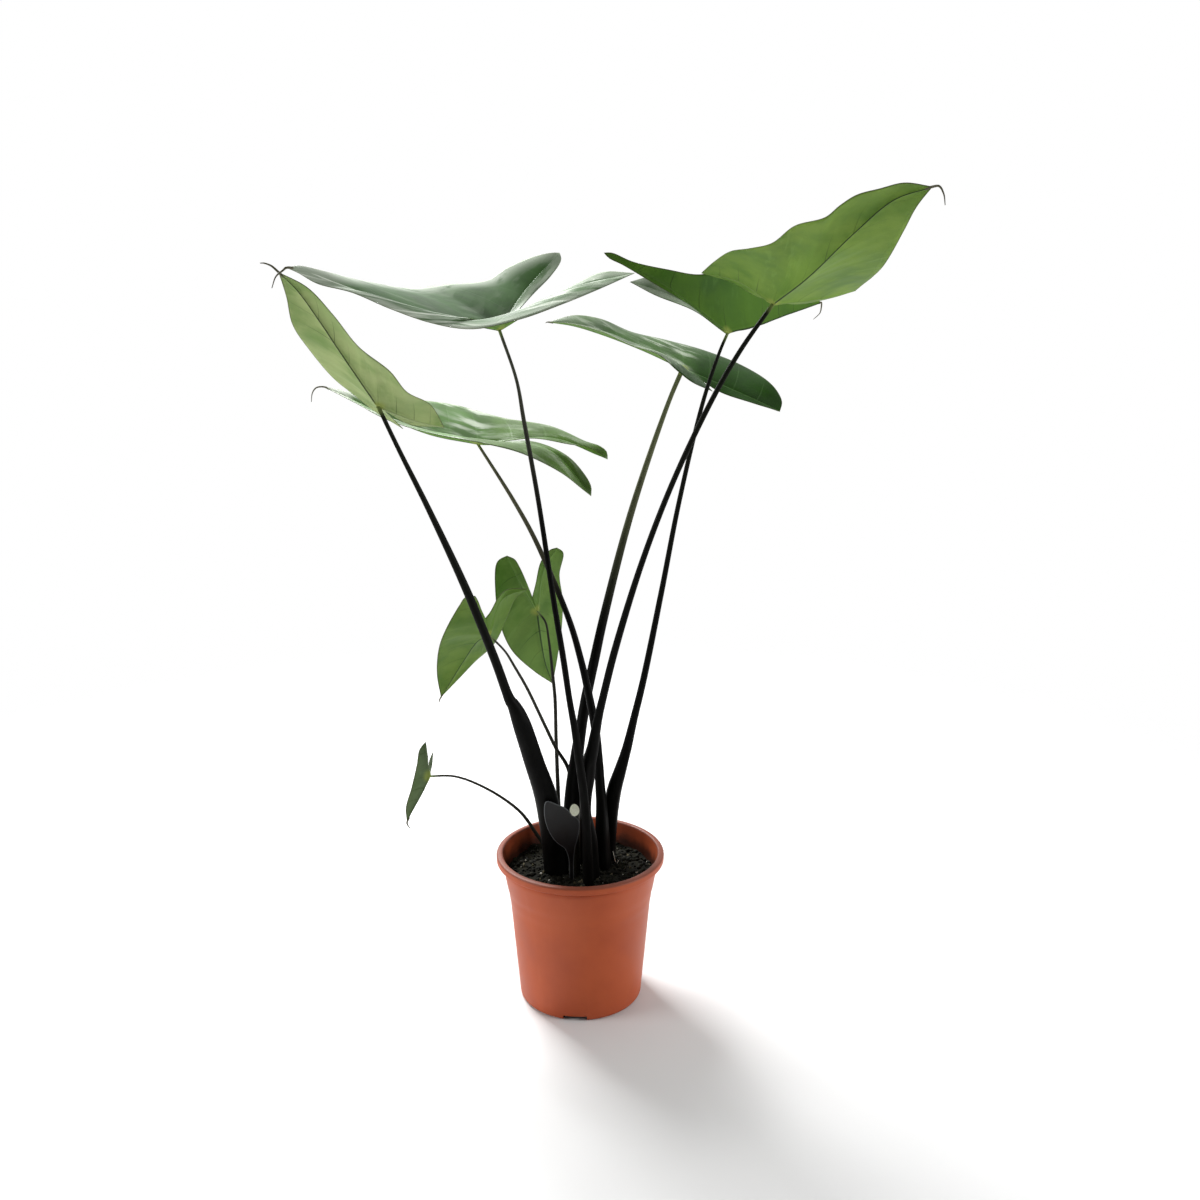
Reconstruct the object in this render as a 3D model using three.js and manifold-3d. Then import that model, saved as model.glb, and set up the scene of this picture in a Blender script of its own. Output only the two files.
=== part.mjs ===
// A nine-leaf arrow-leaved aroid in a round plastic nursery pot.
// Millimetres, +Z up. The pot stands on z = 0 with its axis on x = y = 0.
// The front of the plant faces -Y.

import * as THREE from 'three';
import Module from 'manifold-3d';

const wasm = await Module();
wasm.setup();

const POT_HEIGHT = 174.5;
const POT_RIM_RADIUS = 95;
const POT_LIP_RADIUS = 88;
const POT_FOOT_RADIUS = 65.7;
const POT_CORNER = 4.5;
const POT_WALL = 1.6;
const POT_WAIST_HEIGHT = 118;
const POT_WAIST_RADIUS = 79.9;
const POT_COLLAR_HEIGHT = 132;
const POT_COLLAR_RADIUS = 82.6;
const POT_RIM_UNDERSIDE = 165.5;
const POT_NECK_RADIUS = 88;
const POT_RIM_ROUND = 1.5;
const POT_FLOOR_TOP = 6;
const POT_CHANNEL_HEIGHT = 4;
const POT_CHANNEL_SLOPE = 2;
const POT_PAD_RADIUS = 22;
const POT_RING_INNER_RADIUS = 59;
const POT_SEGMENTS = 48;

const NOTCH_COUNT = 3;
const NOTCH_WIDTH = 25;
const NOTCH_HEIGHT = 6.2;
const NOTCH_DEPTH = 3.6;
const NOTCH_INNER_DEPTH = 12;
const NOTCH_FIRST_ANGLE = -94.6;
const DRAIN_COUNT = 6;
const DRAIN_RADIUS = 4.5;
const DRAIN_CIRCLE = 42;
const DRAIN_SIDES = 12;

const SOIL_LEVEL = 149.5;
const SOIL_RELIEF = 1.6;
const SOIL_SWELL_X = 11;
const SOIL_SWELL_Y = 9;
const SOIL_SHIFT_X = 0.6;
const SOIL_SHIFT_Y = -0.4;
const SOIL_RINGS = 4;
const SOIL_EDGE_RADIUS = 83.1;
const STEM_DEPTH = 28;
const STEM_SIDES = 9;
const THIN_STEM_SIDES = 6;
// A stem's domed end: one ring inside the full radius, then the crown.
const DOME_RING_RISE = 0.6;
const DOME_RING_RADIUS = 0.7;
const DOME_CROWN_RISE = 0.9;

const CLEARANCE = 0.3;
const BLADE_THICKNESS = 0.8;
const BLADE_CAMBER = 0.05;
// A lobe's own rib runs this far out from its inner margin to its outer one.
const LOBE_RIB_SHARE = 0.2;
const DRIP_TIP_RADIUS = 0.9;
const DRIP_TIP_ROOT = 3;
const DRIP_TIP_TAPER = 0.55;
const DRIP_TIP_SIDES = 6;

const LABEL_THICKNESS = 1.4;
const LABEL_FOOT = [-9.5, -24];
const LABEL_LEAN = 9;
const LABEL_DEPTH = 26;
const STAKE_HALF_WIDTH = 2;
const STAKE_FLARE = 0.6;
const STAKE_TOP = 22;
// Bends of the label's head as [handle x, z, handle x, z, end x, z], from the
// top of the stake up the right side, over the crown and down the left side.
const LABEL_HEAD = [
  [3.2, 32, 3.6, 38, 4.7, 44.8],
  [6.4, 51, 9.6, 62, 9.6, 73.5],
  [9.6, 79, 7, 82, 1.2, 84.5],
  [-0.5, 89, -4.5, 94.5, -11.8, 97.3],
  [-17, 99, -22, 102.6, -25.3, 102.4],
  [-28.6, 102, -29.4, 97, -29.4, 89],
  [-29.4, 77, -26, 62, -17.5, 51],
  [-13.5, 46, -8.5, 44.5, -6.3, 40],
  [-4.8, 36.5, -2.9, 30, -STAKE_HALF_WIDTH - STAKE_FLARE, STAKE_TOP],
];
const LABEL_CURVE_STEPS = 4;

const STUMP_FOOT = [-6.2, -8];
const STUMP_RADIUS = 6.1;
const STUMP_HEIGHT = 76.5;
const STUMP_CUT_TILT = 43;
const STUMP_ROOT_SWELL = 0.6;
const STUMP_TOP_TAPER = 0.4;
const STUMP_SIDES = 14;

// How finely a blade is divided: rows from apex to junction, rows along a
// basal lobe, columns from rib to margin, columns from lobe rib to notch.
const LARGE_BLADE = { foreRows: 12, hindRows: 8, outerColumns: 4, innerColumns: 2 };
const SMALL_BLADE = { foreRows: 8, hindRows: 6, outerColumns: 3, innerColumns: 1 };

// Each leaf is an arrowhead blade on one petiole. The junction is where they
// meet. Blade stations are offsets from the junction:
//   rib    along the midrib to the apex
//   fore   along a margin from the apex back to the widest place
//   hind   on along the same margin, round the basal lobe
//   tip    end of the basal lobe
//   notch  along the lobe's inner margin, from the sinus towards the tip
//   drip   the thin curled point beyond the apex
// Left and right are as seen from above, looking from junction to apex.
// Petiole stations are [x, y, z, radius], from the junction down to the soil;
// topRadius is the stem's radius under the blade and topGap how far short of
// the junction its domed end stays.
const LEAVES = {
  left_upright: {
    junction: [-188, -110, 683],
    rib: [[-20, -50, 49], [-33, -84, 82], [-44, -109, 106], [-54, -125, 119]],
    left: {
      fore: [[-33, -117, 107], [-16, -103, 85], [1, -86, 58]],
      hind: [[23, -62, 36], [33, -35, 16], [49, 5, 1]],
      tip: [56, 50, -25],
      notch: [[25, 28, -20]],
    },
    right: {
      fore: [[-57, -93, 100], [-62, -57, 76], [-58, -17, 53]],
      hind: [[-47, 30, 24], [-35, 55, 8], [-17, 78, -12]],
      tip: [7, 98, -31],
      notch: [[5, 45, -15]],
    },
    sinus: [5, 8, -5],
    drip: [[-59, -128, 124], [-64, -131, 126], [-67, -132, 126]],
    petiole: [
      [-171, -101, 640, 2], [-146, -89, 580, 2.7], [-113, -73, 495, 4], [-87, -57, 416, 4.5],
      [-72.8, -48, 369, 5.1], [-69.7, -46.8, 364, 6.8], [-66, -44.8, 355, 8.3],
      [-62.9, -42.2, 345, 9.5], [-50, -33, 296, 10.4], [-37, -22, 245, 12.2], [-28, -4, 150, 13.2],
    ],
    topRadius: 1.5,
    topGap: 1.55,
    detail: LARGE_BLADE,
    blade: 'leaf_olive',
    stem: 'stem_black',
  },
  left_middle: {
    junction: [-112, 60, 629],
    rib: [[-52, 9, 9], [-103, 22, 27], [-144, 34, 45], [-174, 44, 58]],
    left: {
      fore: [[-133, 8, 43], [-92, -24, 27], [-44, -50, 16]],
      hind: [[10, -68, 8], [52, -73, -2], [93, -67, -23], [116, -53, -43]],
      tip: [125, -47, -51],
      notch: [[62, -19, 4], [98, -32, -9], [116, -40, -26], [125, -44, -41]],
    },
    right: {
      fore: [[-135, 46, 51], [-80, 52, 44], [-31, 58, 37]],
      hind: [[23, 63, 22], [79, 57, 13], [119, 44, -3], [134, 36, -7], [142, 31, -13]],
      tip: [143, 27, -21],
      notch: [[60, 4, 5], [102, 14, -3], [120, 22, -6], [137, 27, -16]],
    },
    sinus: [18, -3, 1],
    drip: [[-184, 47, 57], [-189, 48, 51], [-191, 49, 41]],
    petiole: [
      [-73, 53, 567, 2], [-49, 48, 523, 2.4], [-12, 39, 434, 3.2], [1, 34, 389, 3.6],
      [11, 29, 344, 4.3], [17.3, 25, 309, 4.7], [20.5, 21, 275, 5.1], [22.6, 18, 245, 5.4],
      [24.3, 15, 222, 6.2], [24.8, 12, 198, 7.6], [25.8, 10, 175, 8.1], [27.1, 7, 150, 8.4],
    ],
    topRadius: 1.1,
    topGap: 0.83,
    detail: LARGE_BLADE,
    blade: 'leaf_green',
    stem: 'stem_black',
  },
  left_top: {
    junction: [-79, -20, 752],
    rib: [[-45, -111, 13], [-91, -175, 30], [-119, -205, 42], [-145, -227, 53], [-152, -233, 53]],
    left: {
      fore: [[-144, -227, 49], [-131, -220, 41], [-105, -209, 34], [-77, -192, 21], [-46, -170, 9]],
      hind: [[-13, -138, 3], [27, -95, 11], [63, -45, 24], [101, 25, 40]],
      tip: [138, 85, 57],
      notch: [[37, 42, 22], [72, 68, 44], [105, 85, 58]],
    },
    right: {
      fore: [[-145, -222, 55], [-128, -200, 51], [-118, -150, 47], [-103, -95, 43], [-87, -20, 40]],
      hind: [[-61, 60, 45], [-23, 110, 50], [-2, 135, 64], [29, 155, 77], [48, 161, 81]],
      tip: [56, 164, 81],
      notch: [[30, 96, 36], [48, 130, 56], [58, 158, 74]],
    },
    sinus: [14, 30, 15],
    drip: [[-155, -232, 51], [-160, -236, 46], [-163, -239, 37]],
    petiole: [
      [-62, -26, 702, 1.4], [-55, -30, 662, 2], [-41, -36, 581, 2.3], [-26, -42, 477, 2.7],
      [-16, -44, 412, 3.1], [-10, -44, 368, 3.1], [-4.6, -44, 335, 3.7], [0, -44, 300, 4.4],
      [3.6, -44, 272, 4.6], [6.1, -43, 245, 4.5], [7.6, -42, 222, 4.6], [8.4, -40, 198, 5],
      [9.1, -39, 175, 5.4], [9.6, -38, 150, 6.1],
    ],
    topRadius: 1.2,
    topGap: 0.55,
    detail: LARGE_BLADE,
    blade: 'leaf_green',
    stem: 'stem_black',
  },
  right_back: {
    junction: [116, 120, 707],
    rib: [[-47, 44, 20], [-93, 82, 36], [-126, 105, 45], [-156, 123, 49]],
    left: {
      fore: [[-129, 83, 48], [-93, 30, 40], [-59, -22, 26], [-29, -58, 16]],
      hind: [[-10, -74, 0], [5, -82, -11]],
      tip: [26, -86, -20],
      notch: [[19, -42, -12]],
    },
    right: {
      fore: [[-126, 118, 57], [-93, 109, 53], [-56, 98, 38], [-16, 83, 29]],
      hind: [[27, 60, 18], [67, 28, 3], [95, -12, -14], [104, -28, -25], [107, -42, -35]],
      tip: [103, -55, -44],
      notch: [[38, -26, -24], [72, -44, -35], [93, -52, -41]],
    },
    sinus: [10, -11, -5],
    drip: [[-158, 124, 49], [-160, 125, 48]],
    petiole: [
      [101, 114, 672, 2.3], [73, 100, 594, 3.2], [52, 88, 527, 3.9], [26, 71, 426, 4.9],
      [16, 63, 381, 5.4], [5.9, 55, 335, 5.9], [0.1, 48, 300, 6.2], [-4.1, 43, 270, 7.1],
      [-7.3, 37, 240, 8.7], [-8.5, 33, 212, 10.3], [-8.9, 27, 182, 11.5],
      [-9.1, 22, 150, 12.2],
    ],
    topRadius: 2.2,
    topGap: 0.5,
    detail: LARGE_BLADE,
    blade: 'leaf_green',
    stem: 'stem_olive',
  },
  right_top: {
    junction: [186, -90, 777],
    rib: [[18, -95, 24], [44, -150, 57], [66, -188, 79], [89, -208, 86]],
    left: {
      fore: [[84, -186, 74], [84, -150, 59], [84, -112, 43]],
      hind: [[85, -75, 32], [86, -30, 24], [89, 25, 18]],
      tip: [92, 72, 13],
      notch: [[32, 38, 0], [67, 60, 6]],
    },
    right: {
      fore: [
        [68, -206, 89], [50, -203, 85], [34, -198, 81], [23, -190, 74], [14, -180, 66],
        [-6, -155, 61],
      ],
      hind: [[-20, -124, 49], [-35, -98, 46], [-48, -68, 45], [-58, -20, 38]],
      tip: [-66, 28, 29],
      notch: [[-13, 18, 7], [-36, 32, 20]],
    },
    sinus: [8, 14, 1],
    drip: [[93, -212, 86], [96, -215, 80], [97, -217, 72]],
    petiole: [
      [157, -85, 734, 2.1], [131, -79, 686, 2.4], [96, -69, 607, 2.6], [66, -59, 523, 2.9],
      [38, -47, 424, 3.7], [25, -40, 367, 4], [19.9, -37, 343, 4.6], [14, -33, 308, 6.3],
      [9.9, -31, 290, 8.2], [8.3, -29.5, 271, 8.3], [7, -28, 257, 6.6], [6.6, -26, 245, 6],
      [6.5, -24, 228, 5.8], [9.1, -22, 213, 7.1], [11.6, -20, 196, 7.6], [13.1, -17, 175, 7.6],
      [14.2, -14, 150, 7.8],
    ],
    topRadius: 1.5,
    topGap: 0.47,
    detail: LARGE_BLADE,
    blade: 'leaf_green',
    stem: 'stem_black',
  },
  right_inner: {
    junction: [153, 0, 748],
    rib: [[33, 40, 6], [72, 95, 17], [103, 140, 25], [125, 170, 31]],
    left: {
      fore: [[105, 165, 35], [67, 140, 38]],
      hind: [[17, 95, 37], [-35, 65, 49], [-73, 35, 57]],
      tip: [-100, 5, 51],
      notch: [[-34, 2, 22], [-75, 2, 38]],
    },
    right: {
      fore: [[95, 128, 47], [54, 75, 63], [8, 25, 69]],
      hind: [[-29, -8, 58], [-63, -30, 62], [-99, -46, 69], [-119, -52, 77]],
      tip: [-127, -54, 77],
      notch: [[-30, -12, 22], [-75, -34, 47], [-109, -50, 66], [-122, -53, 72]],
    },
    sinus: [-8, -3, 4],
    drip: [[126, 174, 26], [125, 177, 19], [118, 178, 12]],
    petiole: [
      [146, 1, 731, 1.5], [130, 3, 680, 2], [107, 7, 575, 2.4], [89.5, 11, 475, 2.9],
      [70.6, 15, 372, 3.6], [60, 17, 324, 4.1], [52.3, 19, 288, 5.4], [45.6, 22, 262, 7],
      [39.2, 25, 238, 8.7], [35.4, 27.5, 212, 8.8], [34, 29, 182, 7.6], [33, 29, 150, 6.8],
    ],
    topRadius: 1.1,
    topGap: 0.55,
    detail: LARGE_BLADE,
    blade: 'leaf_dark',
    stem: 'stem_black',
  },
  low_left: {
    junction: [-100, 20, 422],
    rib: [[-14, 20, -11], [-35, 50, -44], [-66, 75, -97]],
    left: {
      fore: [[-66, 49, -61], [-57, 8, -17]],
      hind: [[-43, -26, 16], [-26, -46, 46], [-19, -55, 56]],
      tip: [-8, -60, 59],
      notch: [[-4, -36, 38], [-6, -54, 53]],
    },
    right: {
      fore: [[-42, 71, -71], [-24, 67, -51]],
      hind: [[0, 56, -26], [16, 40, 7], [28, 20, 36]],
      tip: [44, -5, 54],
      notch: [[3, -16, 30], [14, -14, 49], [22, -9, 54]],
    },
    sinus: [-2, -18, 24],
    drip: [[-68, 77, -101], [-69, 79, -105]],
    petiole: [
      [-83, 24, 402, 1], [-73, 28, 383, 1.3], [-60.2, 33, 357, 1.5], [-40.3, 42, 308, 1.7],
      [-28.8, 47, 280, 1.8], [-14, 52, 250, 2], [-3, 48, 150, 2.5],
    ],
    topRadius: 0.8,
    topGap: 0.63,
    detail: SMALL_BLADE,
    blade: 'leaf_fresh',
    stem: 'stem_brown',
  },
  low_right: {
    junction: [-51, 88, 433],
    rib: [[3, 26, -43], [7, 51, -80], [15, 72, -112]],
    left: {
      fore: [[-6, 48, -89], [-31, 10, -50]],
      hind: [[-42, -20, -6], [-44, -37, 33], [-42, -46, 63], [-38, -49, 70]],
      tip: [-29, -51, 75],
      notch: [[-8, -22, 34], [-16, -40, 60], [-21, -46, 70]],
    },
    right: {
      fore: [[22, 59, -71], [27, 50, -37]],
      hind: [[29, 38, 3], [26, 24, 37], [31, 8, 67]],
      tip: [24, 5, 73],
      notch: [[0, -14, 34], [6, -8, 59], [16, 1, 71]],
    },
    sinus: [-4, -13, 19],
    drip: [[16, 74, -116], [16, 75, -120]],
    petiole: [
      [-41, 86, 420, 1], [-37, 83, 399, 1.1], [-32, 77, 352, 1.7], [-30, 74, 329, 1.8],
      [-29, 68, 282, 1.9], [-27, 60, 222, 2.2], [-25, 51, 150, 2.4],
    ],
    topRadius: 0.8,
    topGap: 1.08,
    detail: SMALL_BLADE,
    blade: 'leaf_fresh',
    stem: 'stem_brown',
  },
  small_left: {
    junction: [-164, -30, 276],
    rib: [[-9, -10, -18], [-18, -20, -33], [-22, -26, -43]],
    left: {
      fore: [[-23, -23, -27], [-17, -18, -6]],
      hind: [[-12, -8, 16], [-10, 2, 30]],
      tip: [-4, 8, 37],
      notch: [[-2, 7, 20]],
    },
    right: {
      fore: [[-19, -16, -37], [-13, -3, -28]],
      hind: [[-6, 13, -14], [-1, 25, 0]],
      tip: [0, 33, 16],
      notch: [[-2, 15, 11]],
    },
    sinus: [-1, 2, 7],
    drip: [[-21, -27, -46], [-18, -28, -49]],
    petiole: [
      [-138, -16, 270, 1], [-104, 1, 248, 1.2], [-69, 18, 213, 1.5], [-51, 27, 181, 1.9],
      [-36, 34, 150, 2.3],
    ],
    topRadius: 0.8,
    topGap: 0.6,
    detail: SMALL_BLADE,
    blade: 'leaf_fresh',
    stem: 'stem_brown',
  },
};

const FINISHES = {
  pot_plastic: { color: 0xa8543a, roughness: 0.55 },
  potting_soil: { color: 0x1e1912, roughness: 1 },
  leaf_olive: { color: 0x86a063, roughness: 0.5 },
  leaf_green: { color: 0x5c8350, roughness: 0.4 },
  leaf_dark: { color: 0x4b7330, roughness: 0.45 },
  leaf_fresh: { color: 0x628f48, roughness: 0.45 },
  stem_black: { color: 0x14160f, roughness: 0.45 },
  stem_olive: { color: 0x3d452c, roughness: 0.5 },
  stem_brown: { color: 0x4c4b42, roughness: 0.5 },
  label_plastic: { color: 0x1e1f21, roughness: 0.5 },
  cut_stem: { color: 0x2a2c20, roughness: 0.6 },
};

function vector(point) {
  return new THREE.Vector3(point[0], point[1], point[2]);
}

function smoothCurve(points) {
  return new THREE.CatmullRomCurve3(points, false, 'centripetal');
}

// Joins equal corners of a triangle list into one indexed mesh.
function weld(triangles) {
  const points = [];
  const faces = [];
  const numbers = new Map();
  const numberOf = (point) => {
    const key = point.toArray().map((value) => Math.round(value * 1000) + 0).join(' ');
    if (!numbers.has(key)) {
      numbers.set(key, points.length);
      points.push(point.clone());
    }
    return numbers.get(key);
  };
  for (const triangle of triangles) {
    const [a, b, c] = triangle.map(numberOf);
    if (a !== b && b !== c && c !== a) {
      faces.push([a, b, c]);
    }
  }
  return { points, faces };
}

function toManifold({ points, faces }) {
  const vertProperties = new Float32Array(points.flatMap((point) => [point.x, point.y, point.z]));
  const triVerts = new Uint32Array(faces.flat());
  return new wasm.Manifold(new wasm.Mesh({ numProp: 3, vertProperties, triVerts }));
}

function manifoldOfGeometry(geometry) {
  const flat = geometry.index ? geometry.toNonIndexed() : geometry;
  const place = flat.getAttribute('position');
  const triangles = [];
  for (let i = 0; i < place.count; i += 3) {
    triangles.push([0, 1, 2].map((k) => new THREE.Vector3().fromBufferAttribute(place, i + k)));
  }
  return toManifold(weld(triangles));
}

function geometryOfManifold(solid) {
  const mesh = solid.getMesh();
  const geometry = new THREE.BufferGeometry();
  const places = new Float32Array((mesh.vertProperties.length / mesh.numProp) * 3);
  for (let i = 0; i < places.length / 3; i += 1) {
    for (let k = 0; k < 3; k += 1) {
      places[i * 3 + k] = mesh.vertProperties[i * mesh.numProp + k];
    }
  }
  geometry.setAttribute('position', new THREE.BufferAttribute(places, 3));
  geometry.setIndex(new THREE.BufferAttribute(new Uint32Array(mesh.triVerts), 1));
  return geometry;
}

function largestBody(solid) {
  const bodies = solid.decompose();
  return bodies.reduce((best, body) => (body.volume() > best.volume() ? body : best));
}

// A round bar of changing radius along a smooth curve through its stations,
// flat at the first station and domed at the last.
function roundBar(stations, { sides, rings, grow = 0 }) {
  const path = smoothCurve(stations.map(vector));
  const last = stations.length - 1;
  const radiusAt = (t) => {
    const place = t * last;
    const i = Math.min(Math.floor(place), last - 1);
    return THREE.MathUtils.lerp(stations[i][3], stations[i + 1][3], place - i) + grow;
  };
  const ringAt = (centre, along, radius) => {
    const across = new THREE.Vector3(1, 0, 0).addScaledVector(along, -along.x).normalize();
    const other = new THREE.Vector3().crossVectors(along, across);
    return Array.from({ length: sides }, (_, k) => {
      const angle = (k / sides) * Math.PI * 2;
      return centre.clone()
        .addScaledVector(across, Math.cos(angle) * radius)
        .addScaledVector(other, Math.sin(angle) * radius);
    });
  };
  const loops = [];
  for (let i = 0; i <= rings; i += 1) {
    const t = i / rings;
    loops.push(ringAt(path.getPoint(t), path.getTangent(t), radiusAt(t)));
  }
  const end = path.getPoint(1);
  const along = path.getTangent(1);
  const radius = radiusAt(1);
  const shoulder = end.clone().addScaledVector(along, radius * DOME_RING_RISE);
  loops.push(ringAt(shoulder, along, radius * DOME_RING_RADIUS));
  const triangles = [];
  for (let i = 0; i + 1 < loops.length; i += 1) {
    for (let k = 0; k < sides; k += 1) {
      const next = (k + 1) % sides;
      triangles.push([loops[i][k], loops[i][next], loops[i + 1][next]]);
      triangles.push([loops[i][k], loops[i + 1][next], loops[i + 1][k]]);
    }
  }
  const foot = path.getPoint(0);
  const crown = end.clone().addScaledVector(along, radius * DOME_CROWN_RISE);
  const top = loops[loops.length - 1];
  for (let k = 0; k < sides; k += 1) {
    const next = (k + 1) % sides;
    triangles.push([foot, loops[0][next], loops[0][k]]);
    triangles.push([crown, top[k], top[next]]);
  }
  return toManifold(weld(triangles));
}

// Gives a welded sheet its thickness, half to each side, and closes its edge.
function thicken({ points, faces }, thickness) {
  const normals = points.map(() => new THREE.Vector3());
  const edges = new Map();
  for (const face of faces) {
    const [a, b, c] = face.map((number) => points[number]);
    const across = new THREE.Vector3().subVectors(b, a).cross(new THREE.Vector3().subVectors(c, a));
    face.forEach((number, k) => {
      normals[number].add(across);
      edges.set(`${number} ${face[(k + 1) % 3]}`, [number, face[(k + 1) % 3]]);
    });
  }
  normals.forEach((normal) => normal.normalize());
  const shifted = (amount) => points.map((point, i) => point.clone().addScaledVector(normals[i], amount));
  const count = points.length;
  const solidFaces = [];
  for (const [a, b, c] of faces) {
    solidFaces.push([a, b, c], [c + count, b + count, a + count]);
  }
  for (const [from, to] of edges.values()) {
    if (!edges.has(`${to} ${from}`)) {
      solidFaces.push([to, from, from + count], [to, from + count, to + count]);
    }
  }
  return { points: [...shifted(thickness / 2), ...shifted(-thickness / 2)], faces: solidFaces };
}

// Fills between rib points and edge points, row by row, as a cambered strip.
// Side is +1 where the upper face lies anticlockwise from rib to edge.
function strip(ribPoints, edgePoints, columns, side, camber) {
  const last = ribPoints.length - 1;
  const grid = ribPoints.map((rib, i) => {
    const before = ribPoints[Math.max(i - 1, 0)];
    const after = ribPoints[Math.min(i + 1, last)];
    const forward = new THREE.Vector3().subVectors(before, after);
    const span = new THREE.Vector3().subVectors(edgePoints[i], rib);
    const raise = new THREE.Vector3().crossVectors(forward, span).normalize().multiplyScalar(side);
    return Array.from({ length: columns + 1 }, (_, j) => {
      const v = j / columns;
      const height = 4 * v * (1 - v) * camber * span.length();
      return rib.clone().addScaledVector(span, v).addScaledVector(raise, height);
    });
  });
  const triangles = [];
  for (let i = 0; i < last; i += 1) {
    for (let j = 0; j < columns; j += 1) {
      const [a, b, c, d] = [grid[i][j], grid[i][j + 1], grid[i + 1][j + 1], grid[i + 1][j]];
      triangles.push(side > 0 ? [a, b, c] : [c, b, a]);
      triangles.push(side > 0 ? [a, c, d] : [d, c, a]);
    }
  }
  return triangles;
}

// Points along a curve between two fractions of its length.
function pointsAlong(curve, from, to, rows) {
  return Array.from({ length: rows + 1 }, (_, i) => curve.getPointAt(from + ((to - from) * i) / rows));
}

// Half of a blade: one strip beside the midrib and on round the outside of
// the basal lobe, and the narrow inside of the lobe towards the sinus.
function halfBlade(leaf, half, side) {
  const { foreRows, hindRows, outerColumns, innerColumns } = leaf.detail;
  const origin = vector([0, 0, 0]);
  const midrib = smoothCurve([origin, ...leaf.rib.map(vector)]);
  const apex = vector(leaf.rib[leaf.rib.length - 1]);
  const lobeTip = vector(half.tip);
  const stations = [apex, ...half.fore.map(vector), ...half.hind.map(vector), lobeTip];
  const margin = smoothCurve(stations);
  const notch = smoothCurve([vector(leaf.sinus), ...half.notch.map(vector), lobeTip]);
  const shoulder = arcFraction(margin, (half.fore.length + 0.5) / (stations.length - 1));
  const foreMargin = pointsAlong(margin, 0, shoulder, foreRows);
  const lobeMargin = pointsAlong(margin, shoulder, 1, hindRows);
  const lobeMiddle = notch.getPointAt(0.5).lerp(lobeMargin[hindRows / 2], LOBE_RIB_SHARE);
  const lobeRib = pointsAlong(smoothCurve([origin, lobeMiddle, lobeTip]), 0, 1, hindRows);
  const outerRib = [...pointsAlong(midrib, 1, 0, foreRows), ...lobeRib.slice(1)];
  const outerMargin = [...foreMargin, ...lobeMargin.slice(1)];
  const notchMargin = pointsAlong(notch, 0, 1, hindRows);
  return [
    ...strip(outerRib, outerMargin, outerColumns, side, BLADE_CAMBER),
    ...strip(lobeRib, notchMargin, innerColumns, -side, 0),
  ];
}

// The fraction of a curve's length that lies before station parameter t.
function arcFraction(curve, t) {
  const steps = 200;
  const lengths = curve.getLengths(steps);
  return lengths[Math.round(t * steps)] / lengths[steps];
}

function bladeSolid(leaf, thickness) {
  const sheet = weld([...halfBlade(leaf, leaf.left, 1), ...halfBlade(leaf, leaf.right, -1)]);
  const blade = toManifold(thicken(sheet, thickness)).translate(leaf.junction);
  const [beforeApex, apex] = leaf.rib.slice(-2).map(vector);
  const root = apex.clone().add(beforeApex.sub(apex).setLength(DRIP_TIP_ROOT));
  const bend = [root, apex, ...leaf.drip.map(vector)];
  const point = bend.map(({ x, y, z }, i) => {
    const taper = 1 - DRIP_TIP_TAPER * (i / (bend.length - 1));
    return [x, y, z, DRIP_TIP_RADIUS * taper];
  });
  const tip = roundBar(point, { sides: DRIP_TIP_SIDES, rings: bend.length * 2 }).translate(leaf.junction);
  return blade.add(tip);
}

// Stations from inside the soil up to just under the blade.
function petioleStations(leaf, grow) {
  const up = [...leaf.petiole].reverse();
  const [x, y, z, radius] = up[0];
  const junction = vector(leaf.junction);
  const below = vector(leaf.petiole[0]).sub(junction).setLength(leaf.topGap + leaf.topRadius);
  const end = junction.add(below);
  return [[x, y, z - STEM_DEPTH - grow, radius], ...up, [end.x, end.y, end.z, leaf.topRadius]];
}

function petioleBar(leaf, grow) {
  const stations = petioleStations(leaf, grow);
  const sides = leaf.topRadius < 1 ? THIN_STEM_SIDES : STEM_SIDES;
  return roundBar(stations, { sides, rings: stations.length - 1, grow });
}

function latheAroundZ(profile, segments) {
  const outline = profile.map(([radius, height]) => new THREE.Vector2(radius, height));
  const geometry = new THREE.LatheGeometry(outline, segments);
  geometry.rotateX(Math.PI / 2);
  return manifoldOfGeometry(geometry);
}

// The inner profile from the middle of the floor up to the collar, drawn in
// by a clearance for a piece that lies inside.
function potInside(clearance) {
  const step = POT_WALL + clearance;
  return [
    [0, POT_FLOOR_TOP + clearance],
    [POT_FOOT_RADIUS - 1 - step, POT_FLOOR_TOP + clearance],
    [POT_FOOT_RADIUS + POT_CORNER - step, POT_FLOOR_TOP + POT_CORNER + clearance],
    [POT_WAIST_RADIUS - step, POT_WAIST_HEIGHT],
    [POT_COLLAR_RADIUS - step, POT_COLLAR_HEIGHT + 1],
  ];
}

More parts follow.
